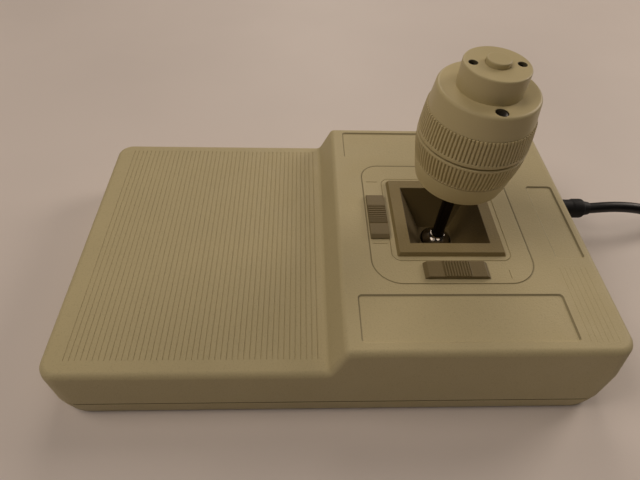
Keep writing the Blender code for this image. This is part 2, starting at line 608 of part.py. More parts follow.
def stick_and_knob():
    axis = (STICK_X, STICK_Y)
    pivot("stick_axis", (STICK_X, STICK_Y, PIVOT_Z), "fore_aft_axis", (0.0, LEAN_SIDE))
    pivot("lower_ring_axis", (STICK_X, STICK_Y, LOWER_RING_Z0), "stick_axis")
    pivot("upper_ring_axis", (STICK_X, STICK_Y, UPPER_RING_Z0), "stick_axis")
    pivot("button_axis", (STICK_X, STICK_Y, CAP_Z), "stick_axis")
    stick = "stick_axis"
    turned("stick_shaft", [(0, 131), (SHAFT_R - 0.4, 131), (SHAFT_R, 130.6), (SHAFT_R, 20.5), (PIN_R, 19.0),
                           (PIN_R, 12.4), (PIN_R - 0.7, 11.4), (0, 11.4)], DARK_STEEL, axis, stick, 16)
    bore = SHAFT_R + GAP
    top, arcs = radians(62), 8
    angles = [top - 2 * top * i / arcs for i in range(arcs + 1)]
    ball = [(BALL_R * cos(a), PIVOT_Z + BALL_R * sin(a)) for a in angles]
    ball += [(bore, PIVOT_Z - BALL_R * sin(top)), (bore, PIVOT_Z + BALL_R * sin(top))]
    turned("ball", ball, STEEL, axis, stick, 20)
    turned("lower_collar", [
        (COLLAR_R1, COLLAR_Z1), (COLLAR_R0 + 1.0, COLLAR_Z0 + 3.5), (COLLAR_R0 + 0.3, COLLAR_Z0 + 1.2),
        (COLLAR_R0 - 1.0, COLLAR_Z0), (bore, COLLAR_Z0), (bore, COLLAR_Z0 + 2.4),
        (RING_BORE, COLLAR_Z0 + 2.4), (RING_BORE, COLLAR_Z1)], KNOB, axis, stick, 28)
    sleeve_r = RING_BORE - 0.4
    turned("knob_sleeve", [
        (sleeve_r, 130.3), (sleeve_r, 84.9), (bore, 84.9), (bore, 88.0), (sleeve_r - 2.0, 88.0),
        (sleeve_r - 2.0, 130.3)], BLACK, axis, stick, 24)
    mid = RING_R_MID
    turned("lower_ring", [
        (mid - 0.4, LOWER_RING_Z1), (mid, LOWER_RING_Z1 - 0.4), (mid - 0.1, LOWER_RING_Z1 - 1.2),
        (RING_R_LOW - 0.1, LOWER_RING_Z0), (RING_BORE, LOWER_RING_Z0), (RING_BORE, LOWER_RING_Z1)],
        KNOB, axis, "lower_ring_axis", 36)
    turned("upper_ring", [
        (RING_R_HIGH, UPPER_RING_Z1), (mid - 0.2, UPPER_RING_Z0 + 1.3), (mid - 0.1, UPPER_RING_Z0 + 0.4),
        (mid - 0.5, UPPER_RING_Z0), (RING_BORE, UPPER_RING_Z0), (RING_BORE, UPPER_RING_Z1)],
        KNOB, axis, "upper_ring_axis", 36)
    for name, z in (("lower_encoder", 97.0), ("upper_encoder", 112.0)):
        turned(name, [(sleeve_r - 2.4, z + 2), (sleeve_r - 2.4, z), (bore, z), (bore, z + 2)], GREEN,
               axis, stick, 16)
    body = turned("knob_body", [
        (CAP_R + 0.4, BODY_Z1), (BODY_R1 - 1.6, BODY_Z1), (BODY_R1 - 0.4, BODY_Z1 - 0.5),
        (BODY_R1, BODY_Z1 - 1.6), (BODY_R0, BODY_Z0), (RING_BORE, BODY_Z0), (RING_BORE, BODY_Z1 - 2.6),
        (CAP_R + 0.4, BODY_Z1 - 2.6)], KNOB, axis, stick, 32)
    boolean(body, rod((*WINDOW_AT, BODY_Z1 - 6), (*WINDOW_AT, BODY_Z1 + 3), WINDOW_R, 12))
    lens_r = WINDOW_R - GAP
    turned("shoulder_window", [
        (0, BODY_Z1 - 0.5), (lens_r, BODY_Z1 - 0.5), (lens_r, BODY_Z1 - 2.4), (0, BODY_Z1 - 2.4)],
        BLACK, WINDOW_AT, stick, 12)
    skirt = BODY_Z1 - 2.6 - GAP
    cap = turned("knob_cap", [
        (BUTTON_R + 0.35, CAP_Z), (CAP_R - 0.6, CAP_Z), (CAP_R, CAP_Z - 0.6), (CAP_R, skirt), (17.6, skirt),
        (17.6, skirt - 2.4), (CAP_R - 1.8, skirt - 2.4), (CAP_R - 1.8, CAP_Z - 2.6),
        (BUTTON_R + 0.35, CAP_Z - 2.6)], KNOB, axis, stick, 28)
    holes = []
    for side in (-1, 1):
        x = STICK_X + side * CAP_SCREW_X
        holes.append(rod((x, STICK_Y, CAP_Z - 5), (x, STICK_Y, CAP_Z + 2), 1.9, 10))
        turned("cap_screw_" + ("left" if side < 0 else "right"), [
            (0, CAP_Z - 1.0), (1.6, CAP_Z - 1.0), (1.6, CAP_Z - 2.4), (1.0, CAP_Z - 2.4),
            (1.0, BOARD_UP - 0.7), (0, BOARD_UP - 0.7)], DARK_STEEL, (x, STICK_Y), stick, 10)
    boolean(cap, merged(*holes))
    turned("push_button", [
        (0, BUTTON_Z), (BUTTON_R - 0.5, BUTTON_Z), (BUTTON_R, BUTTON_Z - 0.5), (BUTTON_R, CAP_Z - 2.9),
        (BUTTON_R + 1.3, CAP_Z - 2.9), (BUTTON_R + 1.3, CAP_Z - 4.1), (2.0, CAP_Z - 4.1), (2.0, CAP_Z - 5.2),
        (0, CAP_Z - 5.2)], KNOB, axis, "button_axis", 20)
    switch_stack(axis, stick)


def switch_stack(axis, stick):
    """Switch board under the cap, with the button's switch and return spring on it."""
    top = BOARD_UP + 1.6
    board = turned("switch_board", [(0, top), (12.4, top), (12.4, BOARD_UP), (0, BOARD_UP)], GREEN,
                   axis, stick, 20)
    holes = []
    for x in (STICK_X - CAP_SCREW_X, STICK_X + CAP_SCREW_X):
        holes.append(rod((x, STICK_Y, BOARD_UP - 2), (x, STICK_Y, BOARD_UP + 4), 1.35, 8))
    boolean(board, merged(*holes))
    turned("button_switch", [(0, top + 4.3), (3.6, top + 4.3), (3.6, top + 0.3), (0, top + 0.3)],
           BLACK, axis, stick, 14)
    foot = BOARD_UP + 2.4
    wire = helix((STICK_X, STICK_Y, foot), (0, 0, 1), 4.8, CAP_Z - 4.9 - foot, 4.0)
    tube("button_spring", wire, 0.4, STEEL, 0, stick)


# ---------------------------------------------------------------- electronics and cable

def electronics():
    x0, x1, y0, y1 = BOARD
    board = add("main_board", box(x0, x1, y0, y1, BOARD_Z, BOARD_Z + 1.6), GREEN)
    boolean(board, merged(*[rod((x, y, 5), (x, y, 15), 1.5, 10) for x, y in BOARD_POSTS]))
    for i, (x, y) in enumerate(BOARD_POSTS):
        turned("board_screw_" + ("left", "right")[i],
               [(0, 12.8), (2.6, 12.8), (2.6, 10.9), (1.1, 10.9), (1.1, 6.5), (0, 6.5)],
               STEEL, (x, y), steps=8)
    lift = BOARD_Z + 1.9
    add("processor", box(-70, -34, 8, 22, lift, lift + 3.5), BLACK)
    add("sensor_header", box(-40, -20, -28, -20, lift, lift + 8), WHITE)
    add("cable_header", box(-22, -16, 10, 28, lift, lift + 9), WHITE)


def cable():
    gland = turned_x("strain_relief", [
        (132.4, 8.0), (135.2, 8.0), (135.2, 5.0), (140.2, 5.0), (140.2, 6.1), (164.0, 6.0), (167.0, 5.6),
        (173.1, 4.1)], RUBBER)
    boolean(gland, rod((120, GLAND_Y, GLAND_Z), (150.3, GLAND_Y, GLAND_Z), 2.9, 10))
    inner = [(139.0, 41.0, 20.0), (131.0, 41.0, 20.0), (122.0, 42.0, 18.0), (108.0, 46.0, 13.5),
             (92.0, 50.0, 10.8), (70.0, 52.0, 10.0), (45.0, 51.0, 10.0), (24.0, 45.0, 11.0),
             (10.0, 35.0, 13.0), (-1.0, 24.0, 15.2), (-8.0, 19.8, 15.9), (-15.3, 19.0, 16.0)]
    tube("inner_cable", smooth_route(inner, 8.0), 2.5, RUBBER, 1)
    clamp = add("cable_clamp", box(66, 74, 47.2, 59.0, TRAY_FLOOR_Z + GAP, 14.0), WHITE)
    boolean(clamp, rod((60, 52, 10.0), (80, 52, 10.0), 3.0, 14))
    tube("cord_tube", smooth_route(CORD_POINTS, 8.0), CORD_R, RUBBER, 2)
    cx, cy = COIL_AT
    inner_r, outer_r = COIL_RADII[0] - CORD_R - 1.2, COIL_RADII[1] + CORD_R - 1.0
    turned("cord_coil", [
        (outer_r, COIL_H - 2.5), (outer_r, 0.0), (inner_r, 0.0), (inner_r, COIL_H - 2.5),
        (inner_r + 3, COIL_H), (outer_r - 3, COIL_H)], RUBBER, COIL_AT, steps=28)
    x = cx + TAIL_R
    tail = [(x, cy - 30.8, 9.3), (x, cy - 36.0, 9.0), (x, cy - 41.0, 8.8)]
    tube("cord_tail", tail, CORD_R, RUBBER, 2)
    y1 = cy - 41.3
    outline = rounded_rect(x - 17, x + 17, y1 - 36, y1, (2, 2, 9, 9), 4)
    hood = add("plug_hood", prism(outline, 0.8, 16.8), BLACK)
    bevel(hood, 1.2, 2, 50)
    shell = add("plug_shell", box(x - 8.5, x + 8.5, y1 - 42.5, y1 - 36.3, 4.3, 13.3), STEEL)
    boolean(shell, box(x - 15.5, x + 15.5, y1 - 37.8, y1 - 36.3, 2.6, 15.0), "UNION")
    boolean(shell, box(x - 7.6, x + 7.6, y1 - 50, y1 - 38.5, 5.2, 12.4))


def turned_x(name, profile, look):
    """Solid turned about the gland's axis: profile of (x, radius) points."""
    steps = 16
    bm = bmesh.new()
    rings = []
    for x, r in profile:
        rings.append([bm.verts.new((x, y, z)) for y, z in circle(GLAND_Y, GLAND_Z, r, steps)])
    for low, high in zip(rings, rings[1:]):
        for i in range(steps):
            j = (i + 1) % steps
            bm.faces.new((low[i], low[j], high[j], high[i]))
    bm.faces.new(rings[0])
    bm.faces.new(rings[-1])
    bmesh.ops.recalc_face_normals(bm, faces=bm.faces[:])
    return add(name, bm, look)


def main():
    for old in list(bpy.data.objects):
        bpy.data.objects.remove(old, do_unlink=True)
    bpy.context.scene.collection.children.link(MODEL)
    bpy.context.scene.collection.children.link(CUTTERS)
    housing()
    joystick_module()
    stick_and_knob()
    electronics()
    cable()


main()
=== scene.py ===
"""Looks of the desk joystick controller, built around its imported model.

Shapes are made in millimetres in the model's own frame. solid() turns them into metres.
"""

from math import atan2, cos, pi, radians, sin, sqrt

import bmesh
import bpy
from mathutils import Matrix, Vector
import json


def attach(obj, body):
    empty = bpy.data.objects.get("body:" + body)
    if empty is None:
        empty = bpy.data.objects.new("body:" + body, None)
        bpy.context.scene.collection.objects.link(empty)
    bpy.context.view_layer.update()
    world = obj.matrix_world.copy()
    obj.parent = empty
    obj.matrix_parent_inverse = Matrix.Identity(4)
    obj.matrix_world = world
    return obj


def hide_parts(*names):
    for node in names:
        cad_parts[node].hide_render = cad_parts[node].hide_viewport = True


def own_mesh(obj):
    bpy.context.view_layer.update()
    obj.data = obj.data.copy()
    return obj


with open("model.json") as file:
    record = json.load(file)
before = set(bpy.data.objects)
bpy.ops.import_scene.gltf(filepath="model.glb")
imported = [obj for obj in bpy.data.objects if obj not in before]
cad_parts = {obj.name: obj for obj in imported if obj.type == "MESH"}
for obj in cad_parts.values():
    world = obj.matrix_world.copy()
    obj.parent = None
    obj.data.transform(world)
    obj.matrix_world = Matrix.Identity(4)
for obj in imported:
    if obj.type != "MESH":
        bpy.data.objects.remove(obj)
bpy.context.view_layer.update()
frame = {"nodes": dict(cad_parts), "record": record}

MM = 0.001
GAP = 0.3                       # clearance between neighbouring pieces
SEAM = 0.12                     # narrower gap where two flush pieces meet in view
LOOSE = 200.0                   # far enough to pass through the whole housing
ON_AXIS = 1e-6                  # a turned profile's radius up to this is on the axis

# Housing. DRAFT is the walls' lean inwards for each millimetre of height, and the corners'
# radius grows by CORNER_SPREAD for each millimetre below CORNER_Z.
BODY_W, BODY_D = 280.0, 173.0
SEAM_Z, TRAY_Z = 11.5, 1.5
PALM_Z, DECK_Z = 35.0, 51.3
DRAFT = 0.094
CORNER_R, CORNER_Z, CORNER_SPREAD = 9.0, 29.5, 0.33
SLOPE_X0, SLOPE_X1 = -4.6, 2.8
SLOPE_R, EDGE_R = 3.2, 3.0
WALL = 2.8
CORNERS = ((-1, -1), (1, -1), (1, 1), (-1, 1))
SCREW_X, SCREW_Y = 125.0, 72.0

# Palm rest grooves and the fine grooves at the deck's front right corner
GROOVES, GROOVE_PITCH, GROOVE_X0 = 45, 2.68, -126.9
GROOVE_Y0, GROOVE_Y1 = -75.9, 77.8
GROOVE_W, GROOVE_DEEP = 0.5, 0.28
DECK_GROOVES, DECK_GROOVE_X0, DECK_GROOVE_PITCH = 6, 115.3, 2.68
DECK_GROOVE_Y0, DECK_GROOVE_Y1 = -77.0, -34.0
DECK_GROOVE_W, DECK_GROOVE_DEEP = 0.3, 0.12

# Label recesses in the deck: x0, x1, y0, y1
RECESS_DEEP = 0.8
RECESSES = ((10.7, 110.6, -76.3, -50.9), (10.3, 110.6, 53.4, 77.7), (116.5, 130.8, -27.3, 27.0))

# Joystick module. The faceplate and its marks are given as x0, x1, y0, y1, and its corner radii
# start at the front left.
STICK_X, STICK_Y, PIVOT_Z = 61.2, 1.8, 31.1
AXIS = (STICK_X, STICK_Y)
PIVOT = Vector((STICK_X, STICK_Y, PIVOT_Z)) * MM
LEAN_FORE_AFT, LEAN_SIDE = 0.71, 1.48   # degrees that the stick leans at rest
PLATE = (19.2, 102.6, -43.8, 44.7)
PLATE_R = (15.0, 15.0, 10.0, 10.0)
PLATE_T = 1.6
BEZEL_HALF, BEZEL_FOOT, BEZEL_RISE = 27.4, 28.2, 2.3
FLANGE_HALF, FLANGE_R = 31.0, 4.5
WELL_HALF, NECK_R = 21.1, 8.9
BALL_R, SHAFT_R = 8.4, 3.25
TRIM_L, TRIM_W, TRIM_H, TRIM_GRIP, TRIM_RIBS = 33.0, 9.9, 2.4, 13.0, 9
TRIM_LEFT_X, TRIM_FRONT_Y = 24.9, -36.4
INDEX_MARKS = ((21.3, 27.9, 30.2, 30.6), (21.0, 28.6, -17.9, -17.5), (88.5, 88.9, -40.8, -35.4))

# Knob, with the stick upright
COLLAR_Z0, COLLAR_Z1, COLLAR_R0, COLLAR_R1 = 82.1, 93.8, 21.4, 24.1
LOWER_RING_Z0, LOWER_RING_Z1 = 94.1, 107.6
UPPER_RING_Z0 = 108.5
RING_R_LOW, RING_R_MID, RING_R_HIGH = 24.3, 26.0, 24.8
RING_BORE = 21.0
RIBS, RIB_DEEP = 90, 0.85
# One rib of a twist ring: share of the pitch, share of the groove's depth
RIB_SHAPE = ((0.0, 0.0), (0.40, 0.0), (0.50, 0.25), (0.58, 0.8), (0.70, 1.0), (0.82, 0.8),
             (0.90, 0.25))
BODY_Z0, BODY_Z1, BODY_R0, BODY_R1 = 122.1, 133.3, 24.2, 23.0
CAP_Z, CAP_R = 144.3, 14.6
BUTTON_Z, BUTTON_R = 146.6, 5.3
CAP_SCREW_X, CAP_SCREW_HOLE_R = 10.5, 1.9
WINDOW_AT, WINDOW_R = (STICK_X + 0.6, STICK_Y - 18.7), 2.8

# Cable
CORD_R, CORD_X0 = 3.5, 151.0
GLAND_Y, GLAND_Z = 41.0, 20.0
CORD_POINTS = [
    (173.4, 41.0, 20.0), (182.0, 41.4, 20.5), (192.0, 42.0, 20.5), (203.0, 42.6, 19.4),
    (214.0, 43.2, 17.0), (225.0, 43.9, 13.5), (236.0, 44.5, 9.7), (246.0, 44.9, 6.3),
    (256.0, 45.2, 4.2), (266.7, 45.2, 3.65),
]
COIL_AT = (292.0, -4.0)
COIL_IN, COIL_OUT, TAIL_R = 28.2, 49.2, 45.7    # radii of the inmost, outmost and last turn
PLUG_L, PLUG_HALF_W, PIN_PITCH = 36.0, 17.0, 1.75

# Camera
LENS, SENSOR_W = 28.02, 36.0
CAMERA_AT = (-18.17, -189.22, 247.73)
CAMERA_FORWARD = (0.04236, 0.66198, -0.74832)
CAMERA_UP = (-0.00267, 0.74907, 0.66249)

# Lamps: name, azimuth and elevation in degrees, metres across, watts.
# Azimuth 0 is the viewer's side and 90 the right.
LIGHTS = [
    ("left", 270, 55, 0.7, 5.6), ("right_back", 120, 28, 0.7, 7.6), ("back", 180, 55, 0.7, 1.9),
    ("back_low", 180, 28, 0.7, 3.2), ("front_left", 315, 55, 0.7, 0.6),
    ("fill_left", 291, 45, 0.7, 1.9), ("fill_right", 28, 63, 0.7, 1.6),
]
GLINT_LAMPS = [("glint_left", 303, 26, 0.16, 6.0), ("glint_right", 13, 42, 0.16, 5.0)]
LIGHT_DISTANCE = 1.6
LIGHT_COLOUR = (1.0, 0.87, 0.76)
AMBIENT_COLOUR, AMBIENT_STRENGTH = (1.0, 0.87, 0.74, 1.0), 0.02
FLOOR_COLOUR, FLOOR_HALF_M = (0.76, 0.69, 0.64), 4.0


# ---------------------------------------------------------------- camera, light and floor

def camera():
    """The photograph's viewpoint."""
    data = bpy.data.cameras.new("camera")
    data.sensor_width = SENSOR_W
    data.lens = LENS
    made = bpy.data.objects.new("camera", data)
    bpy.context.scene.collection.objects.link(made)
    forward = Vector(CAMERA_FORWARD).normalized()
    right = forward.cross(Vector(CAMERA_UP)).normalized()
    up = right.cross(forward)
    turn = Matrix((right, up, -forward)).transposed().to_4x4()
    made.matrix_world = Matrix.Translation(Vector(CAMERA_AT) * MM) @ turn
    bpy.context.scene.camera = made


def area_light(name, azimuth, elevation, size, power):
    """Round lamp aimed at the stick's pivot."""
    data = bpy.data.lights.new(name, "AREA")
    data.shape = "DISK"
    data.size = size
    data.energy = power
    data.color = LIGHT_COLOUR
    a, e = radians(azimuth), radians(elevation)
    away = Vector((sin(a) * cos(e), -cos(a) * cos(e), sin(e)))
    made = bpy.data.objects.new(name, data)
    made.location = PIVOT + away * LIGHT_DISTANCE
    made.rotation_euler = (-away).to_track_quat("-Z", "Y").to_euler()
    bpy.context.scene.collection.objects.link(made)
    return made


def glint_lamps(ball):
    """Small lamps that light the steel ball alone."""
    lit = bpy.data.collections.new("lit_by_glint_lamps")
    lit.objects.link(ball)
    for lamp in GLINT_LAMPS:
        area_light(*lamp).light_linking.receiver_collection = lit


def studio():
    """Lamps, ambient light and floor. The left lamp isn't seen in reflections."""
    for light in LIGHTS:
        made = area_light(*light)
        made.visible_glossy = light[0] != "left"
    world = bpy.data.worlds.new("studio")
    world.use_nodes = True
    back = world.node_tree.nodes["Background"]
    back.inputs["Color"].default_value = AMBIENT_COLOUR
    back.inputs["Strength"].default_value = AMBIENT_STRENGTH
    bpy.context.scene.world = world
    bpy.context.scene.view_settings.view_transform = "Standard"

    mesh = bpy.data.meshes.new("floor")
    bm = bmesh.new()
    bmesh.ops.create_grid(bm, x_segments=1, y_segments=1, size=FLOOR_HALF_M)
    bm.to_mesh(mesh)
    bm.free()
    floor = bpy.data.objects.new("floor", mesh)
    bpy.context.scene.collection.objects.link(floor)
    look, tree, shader = new_material("floor_board", FLOOR_COLOUR, 0.55)
    mottle(tree, shader, FLOOR_COLOUR, 6.0, 0.03)
    bump(tree, shader, [(700.0, 0.00003)])
    mesh.materials.append(look)


# ---------------------------------------------------------------- materials

def new_material(name, colour, roughness, metallic=0.0, specular=0.5):
    made = bpy.data.materials.new(name)
    made.use_nodes = True
    tree = made.node_tree
    shader = tree.nodes["Principled BSDF"]
    shader.inputs["Base Color"].default_value = (*colour, 1.0)
    shader.inputs["Roughness"].default_value = roughness
    shader.inputs["Metallic"].default_value = metallic
    shader.inputs["Specular IOR Level"].default_value = specular
    return made, tree, shader


def coordinates(tree, stretch=(1.0, 1.0, 1.0)):
    """Object coordinates, scaled unevenly where a finish has a direction."""
    source = tree.nodes.new("ShaderNodeTexCoord")
    scale = tree.nodes.new("ShaderNodeMapping")
    scale.inputs["Scale"].default_value = stretch
    tree.links.new(source.outputs["Object"], scale.inputs["Vector"])
    return scale.outputs["Vector"]


def noise(tree, scale, detail=2.0, stretch=(1.0, 1.0, 1.0)):
    """Noise with about scale features to the metre."""
    made = tree.nodes.new("ShaderNodeTexNoise")
    made.inputs["Scale"].default_value = scale
    made.inputs["Detail"].default_value = detail
    tree.links.new(coordinates(tree, stretch), made.inputs["Vector"])
    return made.outputs["Fac"]


def spread(tree, value, low, high, from_low=0.3, from_high=0.7):
    """Map a noise onto the range low to high."""
    made = tree.nodes.new("ShaderNodeMapRange")
    made.inputs["From Min"].default_value = from_low
    made.inputs["From Max"].default_value = from_high
    made.inputs["To Min"].default_value = low
    made.inputs["To Max"].default_value = high
    tree.links.new(value, made.inputs["Value"])
    return made.outputs["Result"]


def blend_colours(tree, factor, a, b):
    """Mix two colours or colour outputs. In a colour mix, inputs 6 and 7 are the colours."""
    made = tree.nodes.new("ShaderNodeMix")
    made.data_type = "RGBA"
    tree.links.new(factor, made.inputs["Factor"])
    for socket, colour in ((made.inputs[6], a), (made.inputs[7], b)):
        if isinstance(colour, tuple):
            socket.default_value = (*colour, 1.0)
        else:
            tree.links.new(colour, socket)
    return made.outputs[2]


def shade(colour, factor):
    return tuple(min(1.0, c * factor) for c in colour)


def mottle(tree, shader, colour, scale, amount, speck_scale=0.0, speck=0.0):
    """Slow uneven ageing of the colour, with finer specks where wanted."""
    slow = spread(tree, noise(tree, scale, 3.0), 0.0, 1.0)
    result = blend_colours(tree, slow, shade(colour, 1 - amount), shade(colour, 1 + amount))
    if speck:
        fine = spread(tree, noise(tree, speck_scale, 2.0), 0.0, speck, 0.55, 0.75)
        result = blend_colours(tree, fine, result, shade(colour, 0.45))
    tree.links.new(result, shader.inputs["Base Color"])


def bump(tree, shader, layers, stretch=(1.0, 1.0, 1.0)):
    """Relief from layers of (noise scale, height in metres)."""
    normal = None
    for scale, height in layers:
        made = tree.nodes.new("ShaderNodeBump")
        made.inputs["Strength"].default_value = 1.0
        made.inputs["Distance"].default_value = height
        tree.links.new(noise(tree, scale, 2.0, stretch), made.inputs["Height"])
        if normal:
            tree.links.new(normal, made.inputs["Normal"])
        normal = made.outputs["Normal"]
    tree.links.new(normal, shader.inputs["Normal"])


def vary_roughness(tree, shader, scale, low, high):
    tree.links.new(spread(tree, noise(tree, scale, 3.0), low, high), shader.inputs["Roughness"])


def grained_plastic(name, colour, rough=(0.5, 0.66), grain=0.00009, speck=0.25):
    """Moulded plastic with a fine spark-eroded grain, slightly uneven with age."""
    made, tree, shader = new_material(name, colour, rough[1], specular=0.42)
    mottle(tree, shader, colour, 14.0, 0.035, 1500.0, speck)
    bump(tree, shader, [(2100.0, grain), (900.0, grain * 1.1)])
    vary_roughness(tree, shader, 60.0, *rough)
    return made


def smooth_plastic(name, colour, rough=(0.4, 0.5)):
    """Moulded plastic from a polished tool, with faint waviness."""
    made, tree, shader = new_material(name, colour, rough[1], specular=0.45)
    mottle(tree, shader, colour, 30.0, 0.03, 2200.0, 0.08)
    bump(tree, shader, [(1800.0, 0.000012), (160.0, 0.00002)])
    vary_roughness(tree, shader, 120.0, *rough)
    return made


def metal(name, colour, rough=(0.2, 0.32), stretch=(1.0, 1.0, 12.0), height=0.000004):
    """Turned or drawn metal; stretch sets the direction of its fine marks."""
    made, tree, shader = new_material(name, colour, rough[1], 1.0)
    mottle(tree, shader, colour, 80.0, 0.08)
    bump(tree, shader, [(420.0, height)], stretch)
    vary_roughness(tree, shader, 240.0, *rough)
    return made


def rubber(name, colour, rough=(0.55, 0.75)):
    """Matt rubber or cable sheath, a little uneven in colour."""
    made, tree, shader = new_material(name, colour, rough[1], specular=0.4)
    mottle(tree, shader, colour, 40.0, 0.2, 1800.0, 0.15)
    bump(tree, shader, [(1400.0, 0.00003), (250.0, 0.00004)])
    vary_roughness(tree, shader, 90.0, *rough)
    return made


def circuit_board(name):
    """Green solder mask over a pattern of tracks and pads."""
    colour = (0.02, 0.16, 0.06)
    made, tree, shader = new_material(name, colour, 0.35, specular=0.6)
    tracks = tree.nodes.new("ShaderNodeTexBrick")
    tracks.inputs["Scale"].default_value = 260.0
    tracks.inputs["Mortar Size"].default_value = 0.03
    tracks.inputs["Color1"].default_value = (*colour, 1.0)
    tracks.inputs["Color2"].default_value = (0.025, 0.2, 0.075, 1.0)
    tracks.inputs["Mortar"].default_value = (0.05, 0.32, 0.12, 1.0)
    tree.links.new(coordinates(tree), tracks.inputs["Vector"])
    pads = tree.nodes.new("ShaderNodeTexVoronoi")
    pads.inputs["Scale"].default_value = 190.0
    pads.inputs["Randomness"].default_value = 0.6
    tree.links.new(coordinates(tree), pads.inputs["Vector"])
    ring = spread(tree, pads.outputs["Distance"], 1.0, 0.0, 0.10, 0.13)
    mixed = blend_colours(tree, ring, tracks.outputs["Color"], (0.62, 0.58, 0.5))
    tree.links.new(mixed, shader.inputs["Base Color"])
    bump(tree, shader, [(500.0, 0.00002)])
    return made


BEIGE_COLOUR = (0.53, 0.455, 0.26)
LOOKS = {}
LEANING = ("stick", "lower_ring", "upper_ring", "push_button")


def make_looks():
    """A finish for each of the record's slots, for the finer differences within a slot, and darker
    copies that paint shade.
    """
    LOOKS["beige_plastic"] = grained_plastic("beige_plastic_finish", BEIGE_COLOUR)
    # Groove finish: the beige a little darker, for dust and painted shade in the grooves, slots and
    # marks
    LOOKS["groove_dust_and_shade"] = grained_plastic("groove_floor_finish", shade(BEIGE_COLOUR, 0.95))
    LOOKS["seam_shadow"] = grained_plastic("seam_shadow_finish", shade(BEIGE_COLOUR, 0.2))
    # Recess wall finish: the beige darkened, painted shade on the recesses' walls and in the
    # faceplate's gap
    LOOKS["recess_wall_shade"] = grained_plastic("recess_wall_finish", shade(BEIGE_COLOUR, 0.62))
    # Well finish: the bezel's plastic darkened, painted shade inside the well
    LOOKS["well_shade_plastic"] = grained_plastic("well_plastic_finish", (0.125, 0.09, 0.034))
    LOOKS["black_glass"] = smooth_plastic("black_glass_finish", (0.004, 0.003, 0.003), (0.3, 0.4))
    LOOKS["bezel_plastic"] = grained_plastic("bezel_plastic_finish", (0.265, 0.205, 0.088))
    LOOKS["knob_plastic"] = smooth_plastic("knob_plastic_finish", (0.56, 0.475, 0.26))
    LOOKS["taupe_plastic"] = grained_plastic("taupe_plastic_finish", (0.20, 0.153, 0.07),
                                             (0.45, 0.6), 0.00003)
    LOOKS["black_plastic"] = smooth_plastic("black_plastic_finish", (0.012, 0.012, 0.013),
                                            (0.35, 0.5))
    LOOKS["black_rubber"] = rubber("black_rubber_finish", (0.007, 0.007, 0.008))
    LOOKS["cable_sheath"] = rubber("cable_sheath_finish", (0.006, 0.006, 0.007), (0.36, 0.5))
    LOOKS["white_nylon"] = smooth_plastic("white_nylon_finish", (0.68, 0.67, 0.62), (0.42, 0.55))
    LOOKS["circuit_board"] = circuit_board("circuit_board_finish")
    LOOKS["steel"] = metal("steel_finish", (0.56, 0.55, 0.53))
    LOOKS["ball_steel"] = metal("ball_steel_finish", (0.42, 0.38, 0.33), (0.05, 0.09),
                                (1.0, 1.0, 1.0), 0.0000015)
    LOOKS["dark_steel"] = metal("dark_steel_finish", (0.045, 0.038, 0.032), (0.28, 0.4),
                                (1.0, 1.0, 20.0))
    LOOKS["nickel"] = metal("nickel_finish", (0.62, 0.60, 0.55), (0.22, 0.36), (6.0, 1.0, 1.0))


# ---------------------------------------------------------------- shapes, in millimetres

def rounded_rect(x0, x1, y0, y1, radii, steps):
    """Outline, counter-clockwise from the front left corner, with one radius or four."""
    if not isinstance(radii, (tuple, list)):
        radii = (radii,) * 4
    corners = [(x0, y0, 1, 1, 180), (x1, y0, -1, 1, 270), (x1, y1, -1, -1, 0), (x0, y1, 1, -1, 90)]
    points = []
    for (x, y, sx, sy, start), r in zip(corners, radii):
        for i in range(steps + 1):
            a = radians(start + 90 * i / steps)
            points.append((x + sx * r + r * cos(a), y + sy * r + r * sin(a)))
    return points


def circle(cx, cy, r, steps):
    return [(cx + r * cos(2 * pi * i / steps), cy + r * sin(2 * pi * i / steps))
            for i in range(steps)]


def arc(cx, cz, r, start, end, steps):
    """Points of an arc, angles in degrees."""
    return [(cx + r * cos(radians(start + (end - start) * i / steps)),
             cz + r * sin(radians(start + (end - start) * i / steps))) for i in range(steps + 1)]


def loft(sections, closed=False):
    """Closed solid through outlines with equal point counts; each section is (outline, z).

    With closed, the last section joins the first, which makes a tube or ring.
    """
    bm = bmesh.new()
    loops = []
    for outline, z in sections:
        loops.append([bm.verts.new((x, y, z)) for x, y in outline])
    pairs = list(zip(loops, loops[1:]))
    if closed:
        pairs.append((loops[-1], loops[0]))
    for low, high in pairs:
        for i in range(len(low)):
            j = (i + 1) % len(low)
            bm.faces.new((low[i], low[j], high[j], high[i]))
    if not closed:
        bm.faces.new(reversed(loops[0]))
        bm.faces.new(loops[-1])
    bmesh.ops.recalc_face_normals(bm, faces=bm.faces[:])
    return bm


def prism(outline, z0, z1):
    return loft([(outline, z0), (outline, z1)])


def prism_y(outline, y0, y1):
    """Outline in x and z, extruded along Y."""
    bm = prism(outline, -y1, -y0)
    bmesh.ops.transform(bm, matrix=Matrix.Rotation(pi / 2, 4, "X"), verts=bm.verts[:])
    return bm


def box(x0, x1, y0, y1, z0, z1):
    return prism([(x0, y0), (x1, y0), (x1, y1), (x0, y1)], z0, z1)


def rod(start, end, r, steps=32):
    a, b = Vector(start), Vector(end)
    bm = bmesh.new()
    bmesh.ops.create_cone(bm, cap_ends=True, segments=steps, radius1=r, radius2=r,
                          depth=(b - a).length)
    turn = Vector((0, 0, 1)).rotation_difference(b - a).to_matrix().to_4x4()
    bmesh.ops.transform(bm, matrix=Matrix.Translation((a + b) / 2) @ turn, verts=bm.verts[:])
    return bm


